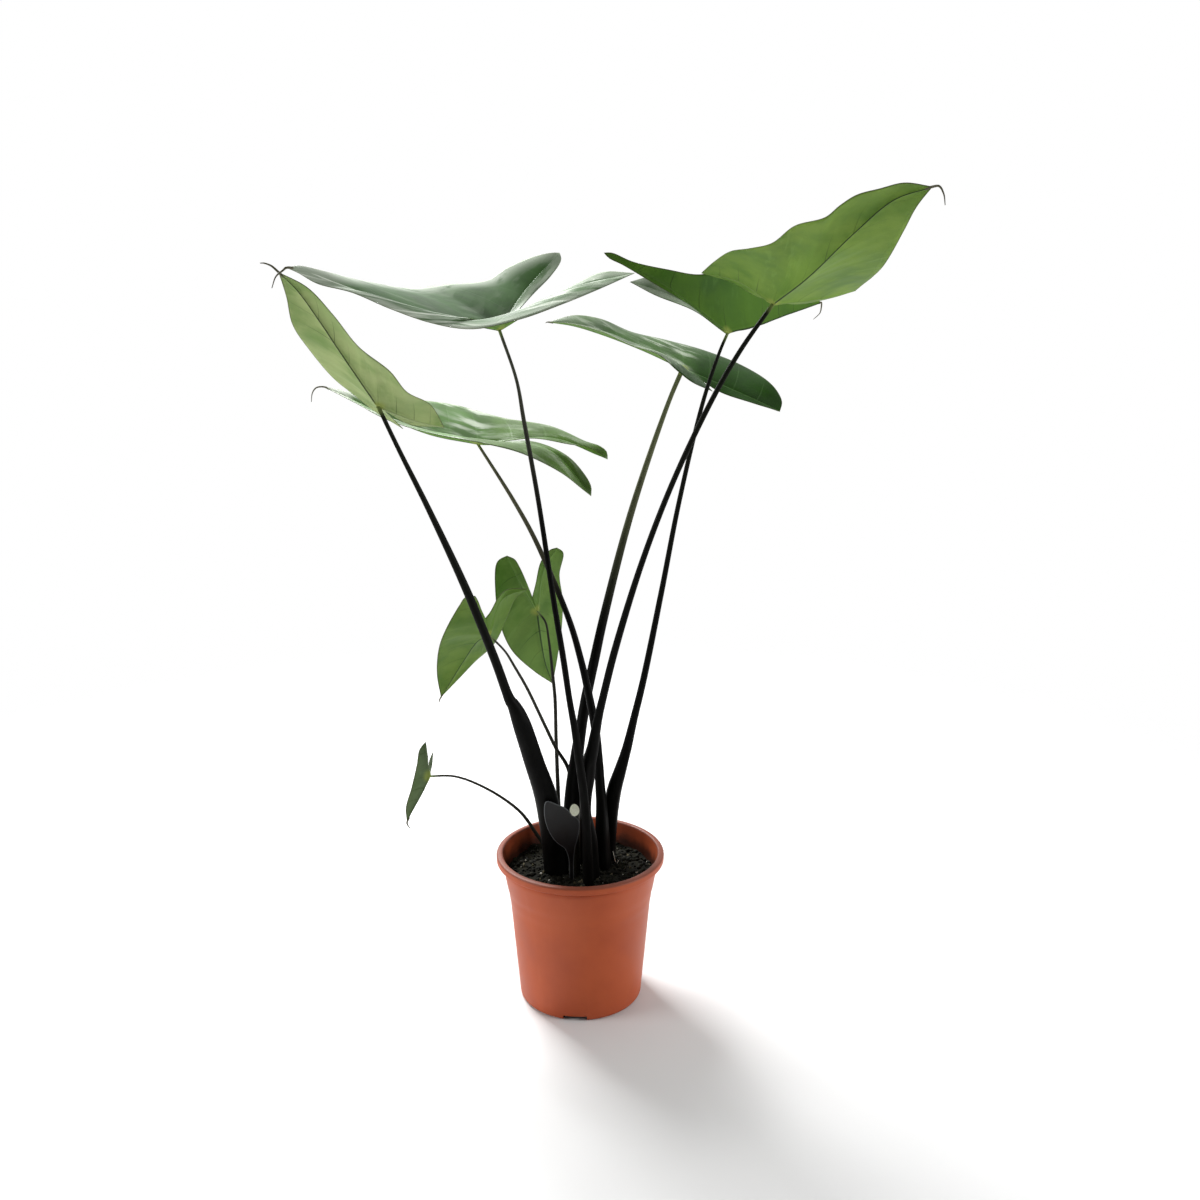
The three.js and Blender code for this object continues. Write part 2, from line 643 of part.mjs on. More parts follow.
function buildPot() {
  const rimMiddle = (POT_HEIGHT + POT_RIM_UNDERSIDE) / 2;
  const outside = [
    [POT_LIP_RADIUS + POT_RIM_ROUND, POT_HEIGHT],
    [POT_RIM_RADIUS - POT_RIM_ROUND, POT_HEIGHT - POT_RIM_ROUND / 2],
    [POT_RIM_RADIUS, POT_HEIGHT - 2 * POT_RIM_ROUND],
    [POT_RIM_RADIUS, rimMiddle],
    [POT_RIM_RADIUS - POT_RIM_ROUND, POT_RIM_UNDERSIDE],
    [POT_NECK_RADIUS + POT_RIM_ROUND, POT_RIM_UNDERSIDE],
    [POT_NECK_RADIUS, POT_RIM_UNDERSIDE - POT_RIM_ROUND],
    [POT_COLLAR_RADIUS, POT_COLLAR_HEIGHT],
    [POT_WAIST_RADIUS, POT_WAIST_HEIGHT],
    [POT_FOOT_RADIUS + POT_CORNER, POT_CORNER],
    [POT_FOOT_RADIUS + POT_CORNER * Math.SQRT1_2, POT_CORNER * (1 - Math.SQRT1_2)],
    [POT_FOOT_RADIUS, 0],
    [POT_RING_INNER_RADIUS + POT_CHANNEL_SLOPE, 0],
    [POT_RING_INNER_RADIUS, POT_CHANNEL_HEIGHT],
    [POT_PAD_RADIUS + POT_CHANNEL_SLOPE, POT_CHANNEL_HEIGHT],
    [POT_PAD_RADIUS, 0],
    [0, 0],
  ];
  const inside = [
    ...potInside(0),
    [POT_NECK_RADIUS - POT_WALL, POT_RIM_UNDERSIDE],
    [POT_LIP_RADIUS, POT_HEIGHT - 1],
  ];
  let pot = latheAroundZ([...inside, ...outside].reverse(), POT_SEGMENTS);
  const notchReach = POT_FOOT_RADIUS + POT_CORNER;
  const cutter = (depth, height) => wasm.Manifold.cube([depth * 2, NOTCH_WIDTH, height * 2], true)
    .translate([notchReach, 0, 0]);
  const notch = cutter(NOTCH_DEPTH, NOTCH_HEIGHT).add(cutter(NOTCH_INNER_DEPTH, POT_CHANNEL_HEIGHT));
  for (let i = 0; i < NOTCH_COUNT; i += 1) {
    pot = pot.subtract(notch.rotate([0, 0, NOTCH_FIRST_ANGLE + (i * 360) / NOTCH_COUNT]));
  }
  const drain = wasm.Manifold.cylinder(POT_FLOOR_TOP * 3, DRAIN_RADIUS, DRAIN_RADIUS, DRAIN_SIDES, true)
    .translate([DRAIN_CIRCLE, 0, POT_FLOOR_TOP]);
  for (let i = 0; i < DRAIN_COUNT; i += 1) {
    pot = pot.subtract(drain.rotate([0, 0, (i * 360) / DRAIN_COUNT]));
  }
  return pot;
}

// Height of the soil's gently uneven top above or below its level.
function soilRelief(x, y) {
  const acrossPot = Math.sin(x / SOIL_SWELL_X + SOIL_SHIFT_X);
  const frontToBack = Math.cos(y / SOIL_SWELL_Y + SOIL_SHIFT_Y);
  return SOIL_RELIEF * acrossPot * frontToBack;
}

function buildSoil(stems) {
  const profile = [...potInside(CLEARANCE)];
  for (let i = 0; i <= SOIL_RINGS; i += 1) {
    profile.push([SOIL_EDGE_RADIUS * (1 - i / SOIL_RINGS), SOIL_LEVEL]);
  }
  const outline = profile.map(([radius, height]) => new THREE.Vector2(radius, height));
  const geometry = new THREE.LatheGeometry(outline, POT_SEGMENTS);
  geometry.rotateX(Math.PI / 2);
  const place = geometry.getAttribute('position');
  for (let i = 0; i < place.count; i += 1) {
    if (place.getZ(i) > SOIL_LEVEL - 1) {
      place.setZ(i, SOIL_LEVEL + soilRelief(place.getX(i), place.getY(i)));
    }
  }
  let soil = manifoldOfGeometry(geometry);
  for (const stem of stems) {
    soil = soil.subtract(stem);
  }
  return largestBody(soil);
}

// A plain plant label: a rounded heart-shaped head on a narrow stake.
function buildLabel(grow) {
  const shape = new THREE.Shape();
  shape.moveTo(STAKE_HALF_WIDTH + grow, -LABEL_DEPTH - grow);
  shape.lineTo(STAKE_HALF_WIDTH + STAKE_FLARE + grow, STAKE_TOP);
  for (const bend of LABEL_HEAD) {
    shape.bezierCurveTo(...bend);
  }
  shape.lineTo(-STAKE_HALF_WIDTH - STAKE_FLARE - grow, STAKE_TOP);
  shape.lineTo(-STAKE_HALF_WIDTH - grow, -LABEL_DEPTH - grow);
  shape.closePath();
  const thickness = LABEL_THICKNESS + 2 * grow;
  const settings = { depth: thickness, bevelEnabled: false, curveSegments: LABEL_CURVE_STEPS };
  const geometry = new THREE.ExtrudeGeometry(shape, settings);
  geometry.translate(0, 0, -thickness / 2);
  geometry.rotateX(Math.PI / 2 + THREE.MathUtils.degToRad(LABEL_LEAN));
  geometry.translate(LABEL_FOOT[0], LABEL_FOOT[1], SOIL_LEVEL);
  return manifoldOfGeometry(geometry);
}

// The stub of a petiole that was cut off, its slanting cut facing the front.
function buildStump(grow) {
  const radius = STUMP_RADIUS + grow;
  const height = STUMP_HEIGHT + STEM_DEPTH + 2 * STUMP_RADIUS;
  const rootRadius = radius + STUMP_ROOT_SWELL;
  const topRadius = radius - STUMP_TOP_TAPER;
  const bar = wasm.Manifold.cylinder(height, rootRadius, topRadius, STUMP_SIDES)
    .translate([STUMP_FOOT[0], STUMP_FOOT[1], SOIL_LEVEL - STEM_DEPTH - grow]);
  const tilt = THREE.MathUtils.degToRad(STUMP_CUT_TILT);
  const normal = [0, -Math.sin(tilt), Math.cos(tilt)];
  const cutHeight = SOIL_LEVEL + STUMP_HEIGHT;
  const offset = normal[1] * STUMP_FOOT[1] + normal[2] * cutHeight;
  return bar.trimByPlane(normal.map((value) => -value), -offset);
}

function addNode(group, name, solid, finish) {
  const material = new THREE.MeshStandardMaterial({ name: finish, ...FINISHES[finish] });
  const mesh = new THREE.Mesh(geometryOfManifold(solid), material);
  mesh.name = name;
  group.add(mesh);
}

function buildPlant() {
  const group = new THREE.Group();
  group.name = 'potted_alocasia';
  const holes = [buildLabel(CLEARANCE), buildStump(CLEARANCE)];
  for (const [name, leaf] of Object.entries(LEAVES)) {
    addNode(group, `blade_${name}`, bladeSolid(leaf, BLADE_THICKNESS), leaf.blade);
    addNode(group, `petiole_${name}`, petioleBar(leaf, 0), leaf.stem);
    holes.push(petioleBar(leaf, CLEARANCE));
  }
  addNode(group, 'pot', buildPot(), 'pot_plastic');
  addNode(group, 'soil', buildSoil(holes), 'potting_soil');
  addNode(group, 'plant_label', buildLabel(0), 'label_plastic');
  addNode(group, 'cut_petiole', buildStump(0), 'cut_stem');
  return group;
}

export default buildPlant();
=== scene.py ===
"""The looks of a nine-leaf alocasia in a round nursery pot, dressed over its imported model.

Metres, +Z up, the pot's axis on x = y = 0 and the front of the plant facing -Y.
"""

import bpy
import numpy as np
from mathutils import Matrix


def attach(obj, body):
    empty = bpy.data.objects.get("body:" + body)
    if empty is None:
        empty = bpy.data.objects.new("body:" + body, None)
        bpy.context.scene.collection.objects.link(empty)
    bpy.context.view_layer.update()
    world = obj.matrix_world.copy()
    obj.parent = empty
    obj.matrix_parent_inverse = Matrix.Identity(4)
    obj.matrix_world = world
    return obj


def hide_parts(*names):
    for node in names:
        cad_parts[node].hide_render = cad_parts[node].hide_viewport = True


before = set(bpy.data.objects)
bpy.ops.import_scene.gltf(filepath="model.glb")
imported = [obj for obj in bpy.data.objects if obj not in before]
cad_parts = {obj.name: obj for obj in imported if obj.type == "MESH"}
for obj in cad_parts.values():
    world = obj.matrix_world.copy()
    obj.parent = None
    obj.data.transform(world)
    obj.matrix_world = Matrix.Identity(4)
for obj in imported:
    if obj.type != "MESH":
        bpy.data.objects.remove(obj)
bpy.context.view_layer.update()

BODY = "root"

# Pot
POT_HEIGHT = 0.1745
POT_RIM_RADIUS = 0.095
POT_LIP_RADIUS = 0.088
POT_NECK_RADIUS = 0.088
POT_RIM_UNDERSIDE = 0.1655
POT_COLLAR_RADIUS = 0.0826
POT_COLLAR_HEIGHT = 0.132
POT_WAIST_RADIUS = 0.0799
POT_WAIST_HEIGHT = 0.118
POT_FOOT_RADIUS = 0.0657
POT_CORNER = 0.0045
POT_WALL = 0.0016
POT_FOOT_DRAFT = 0.001
POT_INNER_FOOT = POT_FOOT_RADIUS - POT_FOOT_DRAFT - POT_WALL
POT_FLOOR_TOP = 0.006
POT_CHANNEL_HEIGHT = 0.004
POT_CHANNEL_SLOPE = 0.002
POT_PAD_RADIUS = 0.022
POT_RING_INNER_RADIUS = 0.059
POT_COLUMNS = 192
POT_STEP = 0.006
NOTCH_COUNT = 3
NOTCH_WIDTH = 0.025
NOTCH_HEIGHT = 0.0062
NOTCH_DEPTH = 0.0036
NOTCH_FIRST_ANGLE = np.radians(-94.6)

# Soil
SOIL_LEVEL = 0.1495
SOIL_EDGE_RADIUS = 0.0831
SOIL_RELIEF = 0.0016
SOIL_SWELL = (0.011, 0.009)
SOIL_SHIFT = (0.6, -0.4)
SOIL_RINGS = 50
SOIL_COLUMNS = 180
FIBRE_RADII = (0.0003, 0.0006)
FIBRE_ROWS = 25

# Stems
STEM_DEPTH = 0.028
STEM_SIDES = 28
STEM_ROWS = 150
SKIN_DEPTH = 0.00022
STEM_TOP_SWELL = 1.15
DOME_FLATNESS = 0.97
SHEATH_FADE = 0.012
SHEATH_LIP = 0.16
SHEATH_GROOVE = 0.14
LIP_WIDTH = 0.4
GROOVE_WIDTH = 0.3
GROOVE_TURN = 0.75

# Leaf blades
BLADE_THICKNESS = 0.0008
BLADE_EDGE_TAPER = 0.008
BLADE_CAMBER = 0.05
RIB_CROWDING = 1.35
VEIN_SWEEP = 0.35
LOBE_RIB_SHARE = 0.2
RIB_RIDGE = 0.0013
RIB_RIDGE_WIDTH = 0.0022
RIB_RIDGE_FADE = 0.85
DRIP_TIP_RADIUS = 0.0011
DRIP_TIP_ROOT = 0.006
DRIP_TIP_TAPER = 0.7
DRIP_TIP_ROWS = 25
DRIP_TIP_SIDES = 10
FORE_ROWS = 64
HIND_ROWS = 36
OUTER_COLUMNS = 18
INNER_COLUMNS = 9

# Label and cut stem
LABEL_THICKNESS = 0.0014
LABEL_BOW = 0.0005
LABEL_HALF_WIDTH = 0.02
LABEL_FOOT = (-0.0095, -0.024)
LABEL_LEAN = np.radians(9)
LABEL_DEPTH = 0.026
STAKE_HALF_WIDTH = 0.002
STAKE_SHOULDER = (0.0026, 0.022)
STUMP_FOOT = (-0.0062, -0.008)
STUMP_RADIUS = 0.0061
STUMP_HEIGHT = 0.0765
STUMP_CUT_TILT = np.radians(43)
STUMP_SIDES = 32
STUMP_ROWS = 40

# Camera, floor and lights
CAMERA_PLACE = (0.0224, -1.2579, 0.7749)
CAMERA_PITCH = np.radians(13.76)
CAMERA_LENS = 36
CAMERA_SENSOR = 36
FLOOR_HALF_WIDTH = 1.6
SOFTBOX_SIZE = 0.9
SOFTBOXES = {
    "back softbox": ((-0.9, 1.35, 1.9), (0.0, 0.0, 0.4), 88.0),
    "left softbox": ((-1.9, -0.5, 0.9), (0.0, 0.0, 0.3), 18.5),
    "right softbox": ((1.9, -0.6, 0.9), (0.0, 0.0, 0.3), 21.5),
}


def in_metres(sizes):
    """Millimetres as metres, in a number or all through dicts, lists and tuples of them."""
    if isinstance(sizes, dict):
        return {key: in_metres(size) for key, size in sizes.items()}
    if isinstance(sizes, (list, tuple)):
        return type(sizes)(in_metres(size) for size in sizes)
    return sizes / 1000


# Each leaf is an arrowhead blade on one petiole, in millimetres. Blade stations
# are offsets from the junction where they meet: rib runs to the apex, fore and
# hind run back round a margin to the basal lobe's tip, notch runs from the sinus
# along the lobe's inner margin, and drip is the curled point beyond the apex.
# Petiole stations are (x, y, z, radius) from under the blade to the soil.
LEAVES = in_metres({
    "left_upright": {
        "junction": (-188, -110, 683),
        "rib": [(-20, -50, 49), (-33, -84, 82), (-44, -109, 106), (-54, -125, 119)],
        "left": {
            "fore": [(-33, -117, 107), (-16, -103, 85), (1, -86, 58)],
            "hind": [(23, -62, 36), (33, -35, 16), (49, 5, 1), (56, 50, -25)],
            "notch": [(25, 28, -20)],
        },
        "right": {
            "fore": [(-57, -93, 100), (-62, -57, 76), (-58, -17, 53)],
            "hind": [(-47, 30, 24), (-35, 55, 8), (-17, 78, -12), (7, 98, -31)],
            "notch": [(5, 45, -15)],
        },
        "sinus": (5, 8, -5),
        "drip": [(-59, -128, 124), (-64, -131, 126), (-67, -132, 126)],
        "petiole": [
            (-171, -101, 640, 2), (-146, -89, 580, 2.7), (-113, -73, 495, 4), (-87, -57, 416, 4.5),
            (-72.8, -48, 369, 5.1), (-69.7, -46.8, 364, 6.8), (-66, -44.8, 355, 8.3),
            (-62.9, -42.2, 345, 9.5), (-50, -33, 296, 10.4), (-37, -22, 245, 12.2), (-28, -4, 150, 13.2),
        ],
        "top_radius": 1.5,
        "sheath_top": 352,
    },
    "left_middle": {
        "junction": (-112, 60, 629),
        "rib": [(-52, 9, 9), (-103, 22, 27), (-144, 34, 45), (-174, 44, 58)],
        "left": {
            "fore": [(-133, 8, 43), (-92, -24, 27), (-44, -50, 16)],
            "hind": [(10, -68, 8), (52, -73, -2), (93, -67, -23), (116, -53, -43), (125, -47, -51)],
            "notch": [(62, -19, 4), (98, -32, -9), (116, -40, -26), (125, -44, -41)],
        },
        "right": {
            "fore": [(-135, 46, 51), (-80, 52, 44), (-31, 58, 37)],
            "hind": [
                (23, 63, 22), (79, 57, 13), (119, 44, -3), (134, 36, -7), (142, 31, -13), (143, 27, -21),
            ],
            "notch": [(60, 4, 5), (102, 14, -3), (120, 22, -6), (137, 27, -16)],
        },
        "sinus": (18, -3, 1),
        "drip": [(-184, 47, 57), (-189, 48, 51), (-191, 49, 41)],
        "petiole": [
            (-73, 53, 567, 2), (-49, 48, 523, 2.4), (-12, 39, 434, 3.2), (1, 34, 389, 3.6),
            (11, 29, 344, 4.3), (17.3, 25, 309, 4.7), (20.5, 21, 275, 5.1), (22.6, 18, 245, 5.4),
            (24.3, 15, 222, 6.2), (24.8, 12, 198, 7.6), (25.8, 10, 175, 8.1), (27.1, 7, 150, 8.4),
        ],
        "top_radius": 1.1,
        "sheath_top": 260,
    },
    "left_top": {
        "junction": (-79, -20, 752),
        "rib": [(-45, -111, 13), (-91, -175, 30), (-119, -205, 42), (-145, -227, 53), (-152, -233, 53)],
        "left": {
            "fore": [(-144, -227, 49), (-131, -220, 41), (-105, -209, 34), (-77, -192, 21), (-46, -170, 9)],
            "hind": [(-13, -138, 3), (27, -95, 11), (63, -45, 24), (101, 25, 40), (138, 85, 57)],
            "notch": [(37, 42, 22), (72, 68, 44), (105, 85, 58)],
        },
        "right": {
            "fore": [(-145, -222, 55), (-128, -200, 51), (-118, -150, 47), (-103, -95, 43), (-87, -20, 40)],
            "hind": [
                (-61, 60, 45), (-23, 110, 50), (-2, 135, 64), (29, 155, 77), (48, 161, 81), (56, 164, 81),
            ],
            "notch": [(30, 96, 36), (48, 130, 56), (58, 158, 74)],
        },
        "sinus": (14, 30, 15),
        "drip": [(-155, -232, 51), (-160, -236, 46), (-163, -239, 37)],
        "petiole": [
            (-62, -26, 702, 1.4), (-55, -30, 662, 2), (-41, -36, 581, 2.3), (-26, -42, 477, 2.7),
            (-16, -44, 412, 3.1), (-10, -44, 368, 3.1), (-4.6, -44, 335, 3.7), (0, -44, 300, 4.4),
            (3.6, -44, 272, 4.6), (6.1, -43, 245, 4.5), (7.6, -42, 222, 4.6), (8.4, -40, 198, 5),
            (9.1, -39, 175, 5.4), (9.6, -38, 150, 6.1),
        ],
        "top_radius": 1.2,
        "sheath_top": 285,
    },
    "right_back": {
        "junction": (116, 120, 707),
        "rib": [(-47, 44, 20), (-93, 82, 36), (-126, 105, 45), (-156, 123, 49)],
        "left": {
            "fore": [(-129, 83, 48), (-93, 30, 40), (-59, -22, 26), (-29, -58, 16)],
            "hind": [(-10, -74, 0), (5, -82, -11), (26, -86, -20)],
            "notch": [(19, -42, -12)],
        },
        "right": {
            "fore": [(-126, 118, 57), (-93, 109, 53), (-56, 98, 38), (-16, 83, 29)],
            "hind": [
                (27, 60, 18), (67, 28, 3), (95, -12, -14), (104, -28, -25), (107, -42, -35),
                (103, -55, -44),
            ],
            "notch": [(38, -26, -24), (72, -44, -35), (93, -52, -41)],
        },
        "sinus": (10, -11, -5),
        "drip": [(-158, 124, 49), (-160, 125, 48)],
        "petiole": [
            (101, 114, 672, 2.3), (73, 100, 594, 3.2), (52, 88, 527, 3.9), (26, 71, 426, 4.9),
            (16, 63, 381, 5.4), (5.9, 55, 335, 5.9), (0.1, 48, 300, 6.2), (-4.1, 43, 270, 7.1),
            (-7.3, 37, 240, 8.7), (-8.5, 33, 212, 10.3), (-8.9, 27, 182, 11.5), (-9.1, 22, 150, 12.2),
        ],
        "top_radius": 2.2,
        "sheath_top": 300,
    },
    "right_top": {
        "junction": (186, -90, 777),
        "rib": [(18, -95, 24), (44, -150, 57), (66, -188, 79), (89, -208, 86)],
        "left": {
            "fore": [(84, -186, 74), (84, -150, 59), (84, -112, 43)],
            "hind": [(85, -75, 32), (86, -30, 24), (89, 25, 18), (92, 72, 13)],
            "notch": [(32, 38, 0), (67, 60, 6)],
        },
        "right": {
            "fore": [
                (68, -206, 89), (50, -203, 85), (34, -198, 81), (23, -190, 74), (14, -180, 66),
                (-6, -155, 61),
            ],
            "hind": [(-20, -124, 49), (-35, -98, 46), (-48, -68, 45), (-58, -20, 38), (-66, 28, 29)],
            "notch": [(-13, 18, 7), (-36, 32, 20)],
        },
        "sinus": (8, 14, 1),
        "drip": [(93, -212, 86), (96, -215, 80), (97, -217, 72)],
        "petiole": [
            (157, -85, 734, 2.1), (131, -79, 686, 2.4), (96, -69, 607, 2.6), (66, -59, 523, 2.9),
            (38, -47, 424, 3.7), (25, -40, 367, 4), (19.9, -37, 343, 4.6), (14, -33, 308, 6.3),
            (9.9, -31, 290, 8.2), (8.3, -29.5, 271, 8.3), (7, -28, 257, 6.6), (6.6, -26, 245, 6),
            (6.5, -24, 228, 5.8), (9.1, -22, 213, 7.1), (11.6, -20, 196, 7.6), (13.1, -17, 175, 7.6),
            (14.2, -14, 150, 7.8),
        ],
        "top_radius": 1.5,
        "sheath_top": 300,
    },
    "right_inner": {
        "junction": (153, 0, 748),
        "rib": [(33, 40, 6), (72, 95, 17), (103, 140, 25), (125, 170, 31)],
        "left": {
            "fore": [(105, 165, 35), (67, 140, 38)],
            "hind": [(17, 95, 37), (-35, 65, 49), (-73, 35, 57), (-100, 5, 51)],
            "notch": [(-34, 2, 22), (-75, 2, 38)],
        },
        "right": {
            "fore": [(95, 128, 47), (54, 75, 63), (8, 25, 69)],
            "hind": [(-29, -8, 58), (-63, -30, 62), (-99, -46, 69), (-119, -52, 77), (-127, -54, 77)],
            "notch": [(-30, -12, 22), (-75, -34, 47), (-109, -50, 66), (-122, -53, 72)],
        },
        "sinus": (-8, -3, 4),
        "drip": [(126, 174, 26), (125, 177, 19), (118, 178, 12)],
        "petiole": [
            (146, 1, 731, 1.5), (130, 3, 680, 2), (107, 7, 575, 2.4), (89.5, 11, 475, 2.9),
            (70.6, 15, 372, 3.6), (60, 17, 324, 4.1), (52.3, 19, 288, 5.4), (45.6, 22, 262, 7),
            (39.2, 25, 238, 8.7), (35.4, 27.5, 212, 8.8), (34, 29, 182, 7.6), (33, 29, 150, 6.8),
        ],
        "top_radius": 1.1,
        "sheath_top": 295,
    },
    "low_left": {
        "junction": (-100, 20, 422),
        "rib": [(-14, 20, -11), (-35, 50, -44), (-66, 75, -97)],
        "left": {
            "fore": [(-66, 49, -61), (-57, 8, -17)],
            "hind": [(-43, -26, 16), (-26, -46, 46), (-19, -55, 56), (-8, -60, 59)],
            "notch": [(-4, -36, 38), (-6, -54, 53)],
        },
        "right": {
            "fore": [(-42, 71, -71), (-24, 67, -51)],
            "hind": [(0, 56, -26), (16, 40, 7), (28, 20, 36), (44, -5, 54)],
            "notch": [(3, -16, 30), (14, -14, 49), (22, -9, 54)],
        },
        "sinus": (-2, -18, 24),
        "drip": [(-68, 77, -101), (-69, 79, -105)],
        "petiole": [
            (-83, 24, 402, 1), (-73, 28, 383, 1.3), (-60.2, 33, 357, 1.5), (-40.3, 42, 308, 1.7),
            (-28.8, 47, 280, 1.8), (-14, 52, 250, 2), (-3, 48, 150, 2.5),
        ],
        "top_radius": 0.8,
        "sheath_top": 190,
    },
    "low_right": {
        "junction": (-51, 88, 433),
        "rib": [(3, 26, -43), (7, 51, -80), (15, 72, -112)],
        "left": {
            "fore": [(-6, 48, -89), (-31, 10, -50)],
            "hind": [(-42, -20, -6), (-44, -37, 33), (-42, -46, 63), (-38, -49, 70), (-29, -51, 75)],
            "notch": [(-8, -22, 34), (-16, -40, 60), (-21, -46, 70)],
        },
        "right": {
            "fore": [(22, 59, -71), (27, 50, -37)],
            "hind": [(29, 38, 3), (26, 24, 37), (31, 8, 67), (24, 5, 73)],
            "notch": [(0, -14, 34), (6, -8, 59), (16, 1, 71)],
        },
        "sinus": (-4, -13, 19),
        "drip": [(16, 74, -116), (16, 75, -120)],
        "petiole": [
            (-41, 86, 420, 1), (-37, 83, 399, 1.1), (-32, 77, 352, 1.7), (-30, 74, 329, 1.8),
            (-29, 68, 282, 1.9), (-27, 60, 222, 2.2), (-25, 51, 150, 2.4),
        ],
        "top_radius": 0.8,
        "sheath_top": 190,
    },
    "small_left": {
        "junction": (-164, -30, 276),
        "rib": [(-9, -10, -18), (-18, -20, -33), (-22, -26, -43)],
        "left": {
            "fore": [(-23, -23, -27), (-17, -18, -6)],
            "hind": [(-12, -8, 16), (-10, 2, 30), (-4, 8, 37)],
            "notch": [(-2, 7, 20)],
        },
        "right": {
            "fore": [(-19, -16, -37), (-13, -3, -28)],
            "hind": [(-6, 13, -14), (-1, 25, 0), (0, 33, 16)],
            "notch": [(-2, 15, 11)],
        },
        "sinus": (-1, 2, 7),
        "drip": [(-21, -27, -46), (-18, -28, -49)],
        "petiole": [
            (-138, -16, 270, 1), (-104, 1, 248, 1.2), (-69, 18, 213, 1.5), (-51, 27, 181, 1.9),
            (-36, 34, 150, 2.3),
        ],
        "top_radius": 0.8,
        "sheath_top": 170,
    },
})

# The label's outline above its stake, span by span: the two points that bend
# a span and its end, across and up, in millimetres.
LABEL_HEAD = in_metres([
    ((3.2, 32), (3.6, 38), (4.7, 44.8)),
    ((6.4, 51), (9.6, 62), (9.6, 73.5)),
    ((9.6, 79), (7, 82), (1.2, 84.5)),
    ((-0.5, 89), (-4.5, 94.5), (-11.8, 97.3)),
    ((-17, 99), (-22, 102.6), (-25.3, 102.4)),
    ((-28.6, 102), (-29.4, 97), (-29.4, 89)),
    ((-29.4, 77), (-26, 62), (-17.5, 51)),
    ((-13.5, 46), (-8.5, 44.5), (-6.3, 40)),
    ((-4.8, 36.5), (-2.9, 30), (-2.6, 22)),
])
FIBRE_PATH = in_metres([
    (37.2, 14.8, 165.5), (38.4, 14.5, 160), (40.2, 14, 153), (42, 13.6, 151.2), (43.4, 14, 154.8),
])


# Curves

def curve_points(stations, places):
    """A smooth curve through the stations, at places 0 to 1 along its spans.

    Each span is the cubic p1 + s1 w + (3 (p2 - p1) - 2 s1 - s2) w^2 +
    (2 (p1 - p2) + s1 + s2) w^3, and its slopes s1 and s2 come from the square
    roots d of the three distances around it.
    """
    p = np.asarray(stations, float)
    p = np.vstack([2 * p[0] - p[1], p, 2 * p[-1] - p[-2]])
    spans = len(p) - 3
    place = np.clip(np.asarray(places, float), 0, 1) * spans
    i = np.minimum(place.astype(int), spans - 1)
    w = (place - i)[:, None]
    p0, p1, p2, p3 = p[i], p[i + 1], p[i + 2], p[i + 3]
    d0, d1, d2 = (np.sqrt(np.linalg.norm(b - a, axis=1))[:, None] for a, b in ((p0, p1), (p1, p2), (p2, p3)))
    slope1 = ((p1 - p0) / d0 - (p2 - p0) / (d0 + d1) + (p2 - p1) / d1) * d1
    slope2 = ((p2 - p1) / d1 - (p3 - p1) / (d1 + d2) + (p3 - p2) / d2) * d1
    return (p1 + slope1 * w + (3 * (p2 - p1) - 2 * slope1 - slope2) * w**2
            + (2 * (p1 - p2) + slope1 + slope2) * w**3)


def lengths_along(stations, steps=400):
    """Places 0 to 1 along the curve's spans and the sum of the curve's short steps up to each."""
    places = np.linspace(0, 1, steps + 1)
    lengths = np.linalg.norm(np.diff(curve_points(stations, places), axis=0), axis=1)
    return places, np.concatenate([[0], np.cumsum(lengths)])


def arc_places(stations, shares):
    """Places along the curve's spans for shares 0 to 1 of its length."""
    places, reach = lengths_along(stations)
    return np.interp(np.asarray(shares) * reach[-1], reach, places)


def even_points(stations, shares):
    """Points on the curve at shares 0 to 1 of its length."""
    return curve_points(stations, arc_places(stations, shares))


def length_share(stations, place):
    """The share of the curve's length that lies before a place along its spans."""
    places, reach = lengths_along(stations)
    return np.interp(place, places, reach) / reach[-1]


def unit(vectors):
    """Vectors divided by their lengths."""
    return vectors / np.maximum(np.linalg.norm(vectors, axis=-1, keepdims=True), 1e-12)


def smooth_step(low, high, values):
    """0 below low, 1 above high and between them t^2 * (3 - 2 t), with t the share of the way."""
    t = np.clip((values - low) / (high - low), 0, 1)
    return t * t * (3 - 2 * t)


def turn_from(angles, middle):
    """Angles less the middle, brought between half a turn back and half a turn on."""
    return (angles - middle + np.pi) % (2 * np.pi) - np.pi


def full_turn(count):
    """Even angles once round."""
    return np.linspace(0, 2 * np.pi, count, endpoint=False)


# Meshes

def grid_faces(rows, columns, closed=False):
    """Quads between points numbered row by row. A closed grid joins its last column to its first."""
    i, j = np.meshgrid(np.arange(rows - 1), np.arange(columns if closed else columns - 1), indexing="ij")
    row = i * columns
    k = (j + 1) % columns
    quads = np.stack([row + j, row + k, row + columns + k, row + columns + j], axis=-1)
    return quads.reshape(-1, 4)


def make_piece(name, points, faces, materials, attributes=None, upper_faces=None):
    """A smooth-shaded mesh object of points and faces that rides on the body.

    attributes are numbers stored at each point. With two materials the second
    takes the faces after the first upper_faces.
    """
    mesh = bpy.data.meshes.new(name)
    mesh.from_pydata(np.asarray(points).tolist(), [], [list(face) for face in faces])
    for label, values in (attributes or {}).items():
        layer = mesh.attributes.new(label, "FLOAT", "POINT")
        layer.data.foreach_set("value", np.asarray(values, np.float32).ravel())
    for material in materials:
        mesh.materials.append(material)
    if upper_faces:
        lower = np.arange(len(mesh.polygons)) >= upper_faces
        mesh.polygons.foreach_set("material_index", lower.astype(np.int32))
    mesh.polygons.foreach_set("use_smooth", np.ones(len(mesh.polygons), bool))
    mesh.update()
    piece = bpy.data.objects.new(name, mesh)
    bpy.context.scene.collection.objects.link(piece)
    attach(piece, BODY)
    return piece


